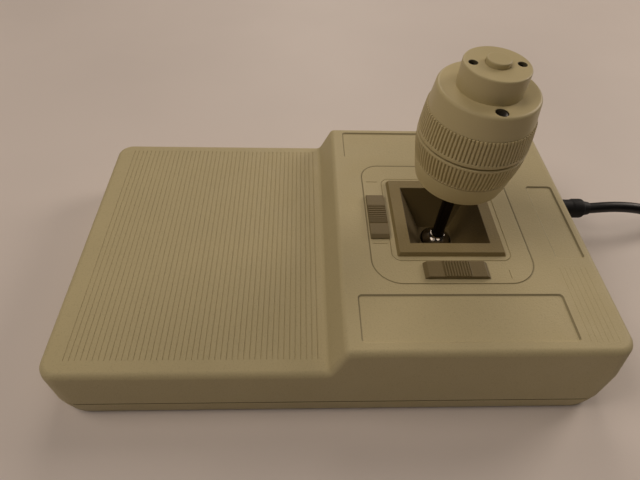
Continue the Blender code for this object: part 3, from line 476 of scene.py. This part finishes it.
def revolve(profile, centre, steps=96):
    """Turned solid from (radius, z) points.

    A profile that touches the axis is capped there, and any other is a ring that closes on itself.
    """
    cx, cy = centre
    closed = profile[0][0] > ON_AXIS
    bm = bmesh.new()
    loops = []
    for r, z in profile:
        if r <= ON_AXIS:
            loops.append([bm.verts.new((cx, cy, z))])
        else:
            loops.append([bm.verts.new((x, y, z)) for x, y in circle(cx, cy, r, steps)])
    pairs = list(zip(loops, loops[1:]))
    if closed:
        pairs.append((loops[-1], loops[0]))
    for a, b in pairs:
        for i in range(steps):
            j = (i + 1) % steps
            if len(a) == 1:
                bm.faces.new((a[0], b[i], b[j]))
            elif len(b) == 1:
                bm.faces.new((a[j], a[i], b[0]))
            else:
                bm.faces.new((a[j], a[i], b[i], b[j]))
    bmesh.ops.recalc_face_normals(bm, faces=bm.faces[:])
    return bm


def merged(*parts):
    """One mesh from several, which are used up."""
    whole = bmesh.new()
    for bm in parts:
        mesh = bpy.data.meshes.new("part")
        bm.to_mesh(mesh)
        bm.free()
        whole.from_mesh(mesh)
        bpy.data.meshes.remove(mesh)
    return whole


# ---------------------------------------------------------------- pieces

def solid(name, bm, *looks):
    """Mesh object in metres from a mesh in millimetres."""
    bmesh.ops.scale(bm, vec=(MM, MM, MM), verts=bm.verts[:])
    mesh = bpy.data.meshes.new(name)
    bm.to_mesh(mesh)
    bm.free()
    for look in looks:
        mesh.materials.append(LOOKS[look])
    made = bpy.data.objects.new(name, mesh)
    bpy.context.scene.collection.objects.link(made)
    return made


def settle(piece):
    """Apply the modifiers and drop the cutters that they used."""
    graph = bpy.context.evaluated_depsgraph_get()
    final = bpy.data.meshes.new_from_object(piece.evaluated_get(graph))
    helpers = [m.object for m in piece.modifiers if m.type == "BOOLEAN"]
    piece.modifiers.clear()
    old = piece.data
    piece.data = final
    bpy.data.meshes.remove(old)
    final.name = piece.name
    for helper in helpers:
        bpy.data.objects.remove(helper, do_unlink=True)


def combine(piece, other, operation="DIFFERENCE"):
    """Cut, join or intersect a piece with another object, which is used up."""
    step = piece.modifiers.new("boolean", "BOOLEAN")
    step.operation = operation
    step.solver = "EXACT"
    step.object = other
    settle(piece)


def boolean(piece, bm, operation="DIFFERENCE", slot=0):
    """Combine a piece with a mesh in millimetres; the new faces get the material slot."""
    cutter = solid(piece.name + "_cutter", bm)
    for material in piece.data.materials:
        cutter.data.materials.append(material)
    for face in cutter.data.polygons:
        face.material_index = slot
    combine(piece, cutter, operation)


def bevel(piece, width, segments, angle):
    step = piece.modifiers.new("bevel", "BEVEL")
    step.width = width * MM
    step.segments = segments
    step.limit_method = "ANGLE"
    step.angle_limit = radians(angle)
    settle(piece)


def lean(piece):
    """Tilt a piece drawn with the stick upright to the stick's rest pose."""
    pivot = Matrix.Translation(PIVOT)
    tilt = Matrix.Rotation(radians(LEAN_FORE_AFT), 4, "X") \
        @ Matrix.Rotation(radians(LEAN_SIDE), 4, "Y")
    piece.data.transform(pivot @ tilt @ pivot.inverted())


def finish(piece, body, slot, *nodes, sharp=35):
    """Shade, weight the normals, and hand the piece over in place of its CAD nodes."""
    if body in LEANING:
        lean(piece)
    piece.data.shade_smooth()
    piece.data.set_sharp_from_angle(angle=radians(sharp))
    step = piece.modifiers.new("normals", "WEIGHTED_NORMAL")
    step.keep_sharp = True
    step.weight = 50
    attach(piece, body)
    if nodes:
        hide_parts(*nodes)
    return piece


# ---------------------------------------------------------------- housing

def wall_outline(z, inset=0.0):
    """Outline of the drafted side wall at height z, moved inwards by inset."""
    i = DRAFT * (z - SEAM_Z) + inset
    r = max(CORNER_R + CORNER_SPREAD * max(CORNER_Z - z, 0.0) - 0.6 * inset, 1.0)
    return rounded_rect(i - BODY_W / 2, BODY_W / 2 - i, i - BODY_D / 2, BODY_D / 2 - i, r, 12)


def top_profile(drop=0.0, steps=10):
    """Side view of the cover's top with its rounded slope, lowered by drop."""
    left, right = -BODY_W, BODY_W
    palm, deck = PALM_Z - drop, DECK_Z - drop
    slope = atan2(deck - palm, SLOPE_X1 - SLOPE_X0)
    shift = drop * (1 - cos(slope)) / sin(slope)
    foot_x, head_x = SLOPE_X0 + shift, SLOPE_X1 + shift
    r = SLOPE_R
    run = r * (1 - cos(slope)) / sin(slope)
    points = [(left, -20.0), (right, -20.0), (right, deck)]
    for i in range(steps + 1):
        a = slope * i / steps
        points.append((head_x + run - r * sin(a), deck - r + r * cos(a)))
    for i in range(steps, -1, -1):
        a = slope * i / steps
        points.append((foot_x - run + r * sin(a), palm + r - r * cos(a)))
    points.append((left, palm))
    return points


def groove(x, y0, y1, top, width, deep):
    """Cutter for a groove along Y with eased edges and a narrower floor."""
    half = width / 2
    lip = deep * 0.3
    side = [(half + 0.5, top + 0.5), (half + 0.08, top + 0.02), (half - 0.02, top - lip),
            (half * 0.62, top - deep + lip * 0.5), (half * 0.4, top - deep)]
    outline = [(x - dx, z) for dx, z in side] + [(x + dx, z) for dx, z in reversed(side)]
    return prism_y(outline, y0, y1)


def recess(x0, x1, y0, y1):
    """Cutter for a label recess with an eased rim and a small fillet at its floor."""
    floor = DECK_Z - RECESS_DEEP
    levels = [(0.45, floor), (0.15, floor + 0.1), (-0.1, floor + 0.3), (-0.35, DECK_Z - 0.25),
              (-0.6, DECK_Z - 0.02), (-1.0, DECK_Z + 0.4)]
    return loft([(rounded_rect(x0 + i, x1 - i, y0 + i, y1 - i, max(1.5 - i, 0.4), 6), z)
                 for i, z in levels])


def cover():
    """Upper cover: walls under the top profile, hollowed, with its recesses and grooves."""
    shell = solid("cover_shell", loft([(wall_outline(z), z) for z in (5.0, CORNER_Z, 60.0)]),
                  "beige_plastic", "groove_dust_and_shade", "recess_wall_shade")
    boolean(shell, prism_y(top_profile(), -LOOSE, LOOSE), "INTERSECT")
    bevel(shell, EDGE_R, 6, 45)
    boolean(shell, box(-LOOSE, LOOSE, -LOOSE, LOOSE, -5, SEAM_Z + GAP / 2))
    hollow = solid("cover_hollow",
                   loft([(wall_outline(z, WALL), z) for z in (3.0, CORNER_Z, 60.0)]))
    boolean(hollow, prism_y(top_profile(WALL + 0.2), -LOOSE, LOOSE), "INTERSECT")
    combine(shell, hollow)
    boolean(shell, merged(*[recess(*r) for r in RECESSES]), slot=2)
    # The painted shade stays on the recesses' walls, but not on their floors or front walls
    for face in shell.data.polygons:
        if face.material_index == 2 and (face.normal.z > 0.9 or face.normal.y > 0.3):
            face.material_index = 0
    x0, x1, y0, y1 = PLATE
    wide, flare, narrow = [
        rounded_rect(x0 - out, x1 + out, y0 - out, y1 + out, [r + out for r in PLATE_R], 12)
        for out in (SEAM, 0.75, -3)]
    ledge = DECK_Z - PLATE_T - GAP
    # The faceplate's gap takes the painted shade of the recess walls
    boolean(shell, loft([(narrow, 40), (narrow, ledge), (wide, ledge), (wide, DECK_Z - 0.4),
                         (flare, DECK_Z + 0.05), (flare, 60)]), slot=2)
    boolean(shell, rod((120, GLAND_Y, GLAND_Z), (150, GLAND_Y, GLAND_Z), 5.3, 40))
    # The palm grooves get the darker groove finish, its painted shade with dust
    cutters = [groove(GROOVE_X0 + i * GROOVE_PITCH, GROOVE_Y0, GROOVE_Y1, PALM_Z,
                      GROOVE_W, GROOVE_DEEP) for i in range(GROOVES)]
    boolean(shell, merged(*cutters), slot=1)
    cutters = [groove(DECK_GROOVE_X0 + i * DECK_GROOVE_PITCH, DECK_GROOVE_Y0, DECK_GROOVE_Y1,
                      DECK_Z, DECK_GROOVE_W, DECK_GROOVE_DEEP) for i in range(DECK_GROOVES)]
    boolean(shell, merged(*cutters))
    finish(shell, "housing", "beige_plastic", "upper_cover", sharp=38)


def tray():
    """Base tray with a line round its wall, a recessed seam and four screw posts."""
    top = SEAM_Z - GAP / 2
    levels = [(1.5, TRAY_Z), (0.95, TRAY_Z + 0.15), (0.7, TRAY_Z + 0.5), (0.45, 6.1), (0.7, 6.2),
              (0.7, 6.5), (0.2, 6.6), (0.1, top - 1.0), (0.25, top - 0.8), (1.2, top - 0.75),
              (1.2, top)]
    outlines = [(wall_outline(z, i + DRAFT * (SEAM_Z - z)), z) for i, z in levels]
    shell = solid("tray_shell", loft(outlines), "beige_plastic", "seam_shadow")
    # Painted shadow on the seam recess and on the lowest edge above the floor
    for face in shell.data.polygons:
        height = face.center.z / MM
        face.material_index = 1 if top - 0.8 < height < top or height < TRAY_Z + 0.2 else 0
    boolean(shell, prism(wall_outline(SEAM_Z, WALL + 1.3), 4.0, 20))
    posts, holes = [], []
    bore = ((3.9, 0.0), (3.9, TRAY_Z - 0.02), (3.5, TRAY_Z + 0.4), (3.5, 7.0), (1.8, 7.0),
            (1.8, 14.0))
    for sx, sy in CORNERS:
        x, y = sx * SCREW_X, sy * SCREW_Y
        posts.append(rod((x, y, 3.0), (x, y, SEAM_Z - GAP), 5.2))
        holes.append(loft([(circle(x, y, r, 32), z) for r, z in bore]))
    boolean(shell, merged(*posts), "UNION")
    boolean(shell, merged(*holes))
    finish(shell, "housing", "beige_plastic", "base_tray", sharp=30)


# ---------------------------------------------------------------- joystick module

def square(half, r):
    """Rounded square round the stick's axis."""
    return rounded_rect(STICK_X - half, STICK_X + half, STICK_Y - half, STICK_Y + half, r, 6)


def faceplate():
    """Plate with the bezel's opening, the slots under the trim sliders and the index marks."""
    x0, x1, y0, y1 = PLATE
    under = DECK_Z - PLATE_T

    def outline(inset):
        radii = [r - inset for r in PLATE_R]
        return rounded_rect(x0 + inset, x1 - inset, y0 + inset, y1 - inset, radii, 12)

    levels = [(0, under), (0, DECK_Z - 0.35), (0.12, DECK_Z - 0.12), (0.45, DECK_Z)]
    plate = solid("faceplate_panel", loft([(outline(i), z) for i, z in levels]), "beige_plastic",
                  "groove_dust_and_shade")
    levels = [(SEAM, 40), (SEAM, DECK_Z - 0.3), (0.5, DECK_Z + 0.05), (0.5, 60)]
    boolean(plate, loft([(square(FLANGE_HALF + i, FLANGE_R + i), z) for i, z in levels]))
    slot = 8.0
    cuts = [box(TRIM_LEFT_X - 1.4, TRIM_LEFT_X + 1.4, STICK_Y - slot, STICK_Y + slot, 40, 60),
            box(STICK_X - slot, STICK_X + slot, TRIM_FRONT_Y - 1.4, TRIM_FRONT_Y + 1.4, 40, 60)]
    for mark in INDEX_MARKS:
        cuts.append(box(*mark, DECK_Z - 0.3, 60))
    # The trim slots and index marks get the darker groove finish, its painted shade with dust
    boolean(plate, merged(*cuts), slot=1)
    finish(plate, "housing", "beige_plastic", "faceplate", sharp=38)


def bezel():
    """Square frame and funnel-shaped well round the stick."""
    rise = DECK_Z + BEZEL_RISE
    sections = [
        (10.4, 2.0, 26.0), (10.4, 2.0, 33.0), (22.8, 2.0, 48.6), (FLANGE_HALF, FLANGE_R, 48.6),
        (FLANGE_HALF, FLANGE_R, DECK_Z - 0.2), (FLANGE_HALF - 0.2, FLANGE_R - 0.2, DECK_Z),
        (BEZEL_FOOT + 0.35, 0.9, DECK_Z), (BEZEL_FOOT + 0.1, 0.8, DECK_Z + 0.12),
        (BEZEL_HALF + 0.2, 0.7, rise - 0.3), (BEZEL_HALF + 0.02, 0.6, rise - 0.08),
        (BEZEL_HALF - 0.25, 0.5, rise)]
    frame_piece = solid("bezel_frame", loft([(square(h, r), z) for h, r, z in sections]),
                        "bezel_plastic", "well_shade_plastic", "beige_plastic")
    # The flange round the frame is as light as the faceplate
    for face in frame_piece.data.polygons:
        if 48.7 < face.center.z / MM < DECK_Z + 0.01:
            face.material_index = 2
    well = [(NECK_R + 0.3, 33.5), (WELL_HALF - 0.15, rise - 0.25), (WELL_HALF + 0.05, rise - 0.08),
            (WELL_HALF + 0.3, rise + 0.02), (WELL_HALF + 0.9, rise + 0.6)]
    # The well's walls and neck get the painted shade of the well finish
    boolean(frame_piece, loft([(square(half, 0.4), z) for half, z in well]), slot=1)
    boolean(frame_piece, rod((*AXIS, 26.9), (*AXIS, 34), NECK_R, 64), slot=1)
    boolean(frame_piece, rod((*AXIS, 20), (*AXIS, 28), 7.65, 64), slot=1)
    finish(frame_piece, "housing", "bezel_plastic", "bezel_well", sharp=30)


def trim_slider(name, node, along_y, centre):
    """Thumb cap with sloping ends and a ribbed middle, drawn along X."""
    z0 = DECK_Z + GAP
    cx, cy = centre
    half, grip = TRIM_L / 2, TRIM_GRIP / 2
    flat = TRIM_H - 0.4
    right = [(half, 0.0), (half, 0.45), (half - 0.15, 0.65), (half - 1.65, flat - 0.1),
             (half - 1.95, flat), (grip + 0.7, flat), (grip + 0.45, flat + 0.08),
             (grip + 0.1, TRIM_H - 0.05), (grip - 0.15, TRIM_H)]
    side = right + [(-x, z) for x, z in reversed(right)]
    outline = [(cx + x, z0 + z) for x, z in side]
    cap = solid(name, prism_y(outline, cy - TRIM_W / 2, cy + TRIM_W / 2), "taupe_plastic")
    bevel(cap, 0.22, 2, 50)
    boolean(cap, box(cx - 2.0, cx + 2.0, cy - 1.0, cy + 1.0, 42.6, z0 + 0.4), "UNION")
    pitch = TRIM_GRIP / TRIM_RIBS
    tooth = [(-0.75, 0.5), (-0.38, -0.02), (-0.16, -0.6), (0.16, -0.6), (0.38, -0.02), (0.75, 0.5)]
    cuts = []
    for i in range(TRIM_RIBS + 1):
        x = cx - grip + i * pitch
        cuts.append(prism_y([(x + dx, z0 + TRIM_H + dz) for dx, dz in tooth], cy - 10, cy + 10))
    boolean(cap, merged(*cuts))
    if along_y:
        move = Matrix.Translation((cx * MM, cy * MM, 0)) @ Matrix.Rotation(pi / 2, 4, "Z") \
            @ Matrix.Translation((-cx * MM, -cy * MM, 0))
        cap.data.transform(move)
    finish(cap, node, "taupe_plastic", node, sharp=30)


# ---------------------------------------------------------------- stick and knob

def ribbed_circle(r, deep):
    """Outline with ribs up to radius r and grooves of the given depth."""
    points = []
    for i in range(RIBS):
        for share, fall in RIB_SHAPE:
            a = 2 * pi * (i + share) / RIBS
            radius = r - deep * fall
            points.append((STICK_X + radius * cos(a), STICK_Y + radius * sin(a)))
    return points


def ribbed_ring(name, sections, node):
    """Ring from (z, radius, groove depth) sections, from the bottom up, with a plain bore."""
    bore = ribbed_circle(RING_BORE, 0.0)
    skin = [(ribbed_circle(r, deep), z) for z, r, deep in sections]
    bore_ends = [(bore, sections[-1][0]), (bore, sections[0][0])]
    ring = solid(name, loft(skin + bore_ends, closed=True), "knob_plastic")
    finish(ring, node, "knob_plastic", node, sharp=50)


def collar():
    """Tapered collar under the twist rings."""
    bore = SHAFT_R + GAP
    profile = [(RING_BORE, COLLAR_Z1), (COLLAR_R1 - 0.35, COLLAR_Z1),
               (COLLAR_R1 - 0.08, COLLAR_Z1 - 0.1), (COLLAR_R1, COLLAR_Z1 - 0.4),
               (23.75, 91.0), (23.3, 88.6), (22.85, 86.4), (22.4, 84.8)]
    profile += arc(COLLAR_R0 - 1.3, COLLAR_Z0 + 2.0, 2.05, 18, -90, 8)
    profile += [(bore + 0.6, COLLAR_Z0), (bore, COLLAR_Z0 + 0.5), (bore, COLLAR_Z0 + 2.4),
                (RING_BORE, COLLAR_Z0 + 2.4)]
    finish(solid("collar", revolve(profile, AXIS), "knob_plastic"), "stick", "knob_plastic",
           "lower_collar")


def lower_ring():
    """Twist ring that widens upwards, with a plain band on top."""
    z0, z1, mid, deep = LOWER_RING_Z0, LOWER_RING_Z1, RING_R_MID, RIB_DEEP

    def skin(z):
        t = (z - z0) / (z1 - 1.2 - z0)
        return RING_R_LOW + (mid - 0.1 - RING_R_LOW) * sin(pi / 2 * min(1.0, t))

    sections = [(z0, RING_R_LOW - 0.2, 0.0), (z0 + 0.1, RING_R_LOW - 0.03, 0.0),
                (z0 + 0.3, skin(z0 + 0.3), 0.0), (z0 + 0.7, skin(z0 + 0.7), deep * 0.5)]
    sections += [(z, skin(z), deep)
                 for z in (z0 + 1.2, z0 + 4, z0 + 6.5, z0 + 9, z1 - 2.0, z1 - 1.45)]
    sections += [(z1 - 1.3, mid - 0.12, 0.0), (z1 - 0.3, mid, 0.0), (z1 - 0.08, mid - 0.1, 0.0),
                 (z1, mid - 0.35, 0.0)]
    ribbed_ring("lower_twist_ring", sections, "lower_ring")


def upper_ring():
    """Twist ring that narrows upwards, with a plain band at its foot."""
    z0, z1, mid, deep = UPPER_RING_Z0, BODY_Z0 - 0.1, RING_R_MID, RIB_DEEP

    def skin(z):
        t = (z - z0 - 1.4) / (z1 - z0 - 1.4)
        return mid - 0.15 - (mid - 0.15 - RING_R_HIGH) * max(0.0, t) ** 1.4

    sections = [(z0, mid - 0.45, 0.0), (z0 + 0.1, mid - 0.2, 0.0), (z0 + 0.35, mid - 0.08, 0.0),
                (z0 + 1.7, mid - 0.1, 0.0)]
    sections += [(z, skin(z), deep)
                 for z in (z0 + 1.85, z0 + 4, z0 + 6.5, z0 + 9, z1 - 1.5, z1 - 0.25)]
    sections += [(z1 - 0.05, RING_R_HIGH - 0.04, deep), (z1, RING_R_HIGH - 0.16, deep)]
    ribbed_ring("upper_twist_ring", sections, "upper_ring")


def knob_body():
    """Shoulder above the rings, with the round window in it."""
    inner = CAP_R + 0.03
    profile = [(inner, BODY_Z1 - 2.6), (inner, BODY_Z1)]
    profile += arc(BODY_R1 - 1.5, BODY_Z1 - 1.5, 1.5, 90, 4, 8)
    profile += [(BODY_R0, BODY_Z0 + 0.05), (BODY_R0 - 0.05, BODY_Z0), (RING_BORE, BODY_Z0),
                (RING_BORE, BODY_Z1 - 2.6)]
    body = solid("knob_shoulder", revolve(profile, AXIS), "knob_plastic", "seam_shadow")
    boolean(body, rod((*WINDOW_AT, BODY_Z1 - 6), (*WINDOW_AT, BODY_Z1 + 3), WINDOW_R, 48), slot=1)
    rim = [(WINDOW_R - 0.02, BODY_Z1 - 0.28), (WINDOW_R + 0.3, BODY_Z1 + 0.05),
           (WINDOW_R + 0.3, BODY_Z1 + 1)]
    boolean(body, loft([(circle(*WINDOW_AT, r, 48), z) for r, z in rim]))
    finish(body, "stick", "knob_plastic", "knob_body", sharp=30)
    lens = [(0.0, BODY_Z1 - 0.3), (1.2, BODY_Z1 - 0.32), (2.2, BODY_Z1 - 0.42),
            (2.7, BODY_Z1 - 0.65), (2.7, BODY_Z1 - 2.4), (0.0, BODY_Z1 - 2.4)]
    finish(solid("indicator_lens", revolve(lens, WINDOW_AT, 40), "black_glass"), "stick",
           "black_plastic", "shoulder_window")


def knob_cap():
    """Top of the knob, with the button's hole and two screw holes."""
    skirt = BODY_Z1 - 2.6 - GAP
    hole = BUTTON_R + 0.12
    profile = [(hole, CAP_Z - 2.6), (hole, CAP_Z - 0.1), (hole + 0.1, CAP_Z)]
    profile += arc(CAP_R - 0.7, CAP_Z - 0.7, 0.7, 90, 0, 6)
    profile += [(CAP_R, skirt), (17.6, skirt), (17.6, skirt - 2.4), (CAP_R - 1.8, skirt - 2.4),
                (CAP_R - 1.8, CAP_Z - 2.6)]
    cap = solid("knob_top", revolve(profile, AXIS), "knob_plastic", "seam_shadow")
    levels = [(CAP_SCREW_HOLE_R, CAP_Z - 5), (CAP_SCREW_HOLE_R, CAP_Z - 0.22),
              (CAP_SCREW_HOLE_R + 0.22, CAP_Z + 0.03), (CAP_SCREW_HOLE_R + 0.22, CAP_Z + 1)]
    holes = []
    for side, node in ((-1, "cap_screw_left"), (1, "cap_screw_right")):
        x = STICK_X + side * CAP_SCREW_X
        holes.append(loft([(circle(x, STICK_Y, r, 35), z) for r, z in levels]))
        cap_screw(node, x)
    boolean(cap, merged(*holes), slot=1)
    finish(cap, "stick", "knob_plastic", "knob_cap", sharp=30)


def push_button():
    """Slightly dished button with a flange under the cap and a stem."""
    profile = [(0.0, BUTTON_Z - 0.12), (BUTTON_R * 0.6, BUTTON_Z - 0.04),
               (BUTTON_R - 0.7, BUTTON_Z)]
    profile += arc(BUTTON_R - 0.6, BUTTON_Z - 0.6, 0.6, 80, 0, 6)
    base = CAP_Z - 2.9
    profile += [(BUTTON_R, base), (BUTTON_R + 1.3, base), (BUTTON_R + 1.3, base - 1.2),
                (2.0, base - 1.2), (2.0, base - 2.3), (0.0, base - 2.3)]
    finish(solid("thumb_button", revolve(profile, AXIS, 72), "knob_plastic"), "push_button",
           "knob_plastic", "push_button", sharp=30)


def cap_screw(node, x):
    """Screw in its hole in the cap, with a socket in its head."""
    head = CAP_Z - 1.0
    profile = [(0.0, head - 0.9), (0.5, head - 0.9), (0.85, head - 0.8), (0.85, head - 0.05),
               (1.0, head), (1.4, head), (1.6, head - 0.2), (1.6, CAP_Z - 2.4), (1.0, CAP_Z - 2.4),
               (1.0, 130.6), (0.0, 130.6)]
    finish(solid(node + "_head", revolve(profile, (x, STICK_Y), 24), "dark_steel"), "stick",
           "dark_steel", node)


def button_spring():
    """The CAD's own spring, copied to ride with the stick."""
    cad_spring = frame["nodes"]["button_spring"]
    spring = cad_spring.copy()
    spring.data = cad_spring.data.copy()
    spring.name = "return_spring"
    bpy.context.scene.collection.objects.link(spring)
    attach(spring, "stick")
    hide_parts("button_spring")
    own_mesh(spring)


def stick():
    """Shaft and pivot ball."""
    top = 62                    # the ball ends this many degrees above and below its middle
    profile = [(SHAFT_R + GAP, PIVOT_Z + BALL_R * sin(radians(top)))]
    profile += arc(0.0, PIVOT_Z, BALL_R, top, -top, 28)
    profile += [(SHAFT_R + GAP, PIVOT_Z - BALL_R * sin(radians(top)))]
    ball = solid("pivot_ball", revolve(profile, AXIS, 64), "ball_steel")
    finish(ball, "stick", "steel", "ball")
    glint_lamps(ball)
    profile = [(0.0, 131.0), (SHAFT_R - 0.4, 131.0), (SHAFT_R, 130.6), (SHAFT_R, 40.5),
               (SHAFT_R + 0.02, 40.4), (SHAFT_R + 0.28, 40.1), (SHAFT_R + 0.28, 39.0),
               (SHAFT_R, 38.8), (SHAFT_R, 20.5), (1.9, 19.0), (1.9, 12.4), (1.2, 11.4), (0.0, 11.4)]
    finish(solid("stick_rod", revolve(profile, AXIS, 48), "dark_steel"), "stick", "dark_steel",
           "stick_shaft")


# ---------------------------------------------------------------- cable

def smooth_route(points, spacing):
    """Points on a Catmull-Rom curve through the route's own points."""
    route = [Vector(p) for p in points]
    route = [2 * route[0] - route[1]] + route + [2 * route[-1] - route[-2]]
    out = []
    for p0, p1, p2, p3 in zip(route, route[1:], route[2:], route[3:]):
        n = max(1, round((p2 - p1).length / spacing))
        for i in range(n):
            t = i / n
            out.append(0.5 * ((2 * p1) + (p2 - p0) * t + (2 * p0 - 5 * p1 + 4 * p2 - p3) * t * t
                              + (3 * p1 - p0 - 3 * p2 + p3) * t ** 3))
    out.append(route[-2])
    return [tuple(p) for p in out]


def coil_points(per_turn=40):
    """Two layers, clockwise: turns inwards on the surface, one climbing, the rest outwards."""
    cx, cy = COIL_AT
    down, climb, up = 3, 1, 2.25
    rise = 2 * CORD_R + 0.05
    points = []
    for i in range(int((down + climb + up) * per_turn) + 1):
        u = i / per_turn
        if u <= down:
            r, lift = COIL_OUT - (COIL_OUT - COIL_IN) * u / down, 0.0
        elif u <= down + climb:
            share = u - down
            r, lift = COIL_IN, rise * sqrt(1 - (1 - share) ** 2)
        else:
            r, lift = COIL_IN + (TAIL_R - COIL_IN) * (u - down - climb) / up, rise
        a = pi / 2 - 2 * pi * u
        points.append((cx + r * cos(a), cy + r * sin(a), CORD_R + 0.1 + lift))
    return points


def cord():
    """The cable as lead, coil and tail in one spline, with its first point and its length."""
    cx, cy = COIL_AT
    inside = [(CORD_X0, GLAND_Y, GLAND_Z), (162.0, GLAND_Y, GLAND_Z)]
    lead = smooth_route(inside + CORD_POINTS + [(280.0, COIL_OUT + cy, CORD_R + 0.1)], 4.0)
    coil = coil_points()
    top = coil[-1][2]
    # The tail crosses the turns and comes down to the plug
    tail = [(cx + TAIL_R, cy - dy, z) for dy, z in (
        (8.0, top), (16.0, top), (24.0, top - 0.3), (31.0, top - 1.0), (36.0, top - 1.6),
        (43.0, 8.8))]
    points = lead + coil + tail
    length = sum((Vector(b) - Vector(a)).length for a, b in zip(points, points[1:])) * MM
    curve = bpy.data.curves.new("cable", "CURVE")
    curve.dimensions = "3D"
    curve.bevel_depth = CORD_R * MM
    curve.bevel_resolution = 5
    curve.use_fill_caps = True
    spline = curve.splines.new("POLY")
    spline.points.add(len(points) - 1)
    for point, co in zip(spline.points, points):
        point.co = (*[c * MM for c in co], 1.0)
    spline.use_smooth = True
    curve.materials.append(LOOKS["cable_sheath"])
    made = bpy.data.objects.new("cable", curve)
    bpy.context.scene.collection.objects.link(made)
    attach(made, "housing")
    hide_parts("cord_tube", "cord_coil", "cord_tail")
    return made, points[0], length


def strain_relief():
    """Boot in the cover's right wall, turned from (x, radius) points."""
    profile = [(132.4, 0.0), (132.4, 8.0), (135.2, 8.0), (135.2, 5.0), (140.2, 5.0), (140.2, 6.0),
               (140.5, 6.25), (143.5, 6.3), (143.9, 6.0), (144.4, 5.75), (160.5, 5.75),
               (161.4, 5.95), (162.0, 6.3), (167.0, 6.35), (168.2, 6.1), (168.9, 5.5), (169.3, 4.9),
               (173.1, 4.15), (173.4, 3.9), (173.4, 3.55), (CORD_X0, 3.55), (CORD_X0, 0.0)]
    bm = revolve([(r, x) for x, r in profile], (0.0, 0.0), 48)
    turn = Matrix.Translation((0.0, GLAND_Y, GLAND_Z)) @ Matrix.Rotation(pi / 2, 4, "Y")
    bmesh.ops.transform(bm, matrix=turn, verts=bm.verts[:])
    return finish(solid("cable_boot", bm, "black_rubber"), "housing", "black_rubber",
                  "strain_relief", sharp=40)


def plug():
    """Hood with finger grips, D-shaped shell and its pins, at the end of the tail."""
    cx, cy = COIL_AT
    x, y1 = cx + TAIL_R, cy - 41.3
    y0 = y1 - PLUG_L

    def outline(inset):
        radii = [2.0, 2.0, 9.0 - inset, 9.0 - inset]
        half = PLUG_HALF_W - inset
        return rounded_rect(x - half, x + half, y0 + inset, y1 - inset, radii, 8)

    levels = [(1.2, 0.8), (0.35, 1.1), (0.0, 2.0), (0.0, 8.5), (0.25, 8.6), (0.25, 8.9), (0.0, 9.0),
              (0.0, 15.6), (0.35, 16.5), (1.2, 16.8)]
    hood = solid("plug_cover", loft([(outline(i), z) for i, z in levels]), "black_plastic")
    grips = []
    for side in (-1, 1):
        for i in range(5):
            y = y1 - 12 - 2.6 * i
            middle = x + side * (PLUG_HALF_W + 0.4)
            grips.append(box(middle - 1.0, middle + 1.0, y - 0.6, y + 0.6, 3.0, 14.6))
    boolean(hood, merged(*grips))
    finish(hood, "housing", "black_plastic", "plug_hood", sharp=30)
    face = y0 - 0.3
    flange = rounded_rect(x - 15.5, x + 15.5, 2.6, 15.0, 1.2, 5)
    shell = solid("plug_socket", prism(flange, -face, -face + 1.2), "nickel")
    d_shape = [(x - 8.4, 13.2), (x - 7.6, 5.0), (x - 6.9, 4.4), (x + 6.9, 4.4), (x + 7.6, 5.0),
               (x + 8.4, 13.2), (x + 7.9, 13.6), (x - 7.9, 13.6)]
    boolean(shell, prism(d_shape, -face + 0.6, -face + 6.2), "UNION")
    inner = [(x + (px - x) * 0.93, 9.0 + (pz - 9.0) * 0.9) for px, pz in d_shape]
    boolean(shell, prism(inner, -face + 1.5, -face + 9))
    shell.data.transform(Matrix.Rotation(pi / 2, 4, "X"))
    finish(shell, "housing", "steel", "plug_shell", sharp=30)
    pins = []
    for count, z in ((8, 10.6), (7, 7.4)):
        for i in range(count):
            px = x + (i - (count - 1) / 2) * PIN_PITCH
            pins.append(rod((px, face - 1.4, z), (px, face - 5.6, z), 0.42, 12))
    pin_field = solid("plug_pins", merged(*pins), "nickel")
    finish(pin_field, "housing", "steel")
    return hood, shell, pin_field


# ---------------------------------------------------------------- pieces that keep their CAD shape

# Nodes that look different from their material slot
NODE_LOOKS = {"cord_tube": "cable_sheath", "inner_cable": "cable_sheath"}


def dress_cad_nodes():
    """Finish on every CAD node, by the record's material slots."""
    for part in frame["record"]["subparts"]:
        node = frame["nodes"][part["node"]]
        look = NODE_LOOKS.get(part["node"], part["material_slot"])
        node.data.materials.clear()
        node.data.materials.append(LOOKS[look])


def main():
    camera()
    make_looks()
    dress_cad_nodes()
    cable, start, length = cord()
    boot = strain_relief()
    plug_pieces = plug()
    studio()
    cover()
    tray()
    faceplate()
    bezel()
    trim_slider("left_trim_cap", "trim_slider_left", True, (TRIM_LEFT_X, STICK_Y))
    trim_slider("front_trim_cap", "trim_slider_front", False, (STICK_X, TRIM_FRONT_Y))
    stick()
    collar()
    lower_ring()
    upper_ring()
    knob_body()
    knob_cap()
    push_button()
    button_spring()


main()

import json
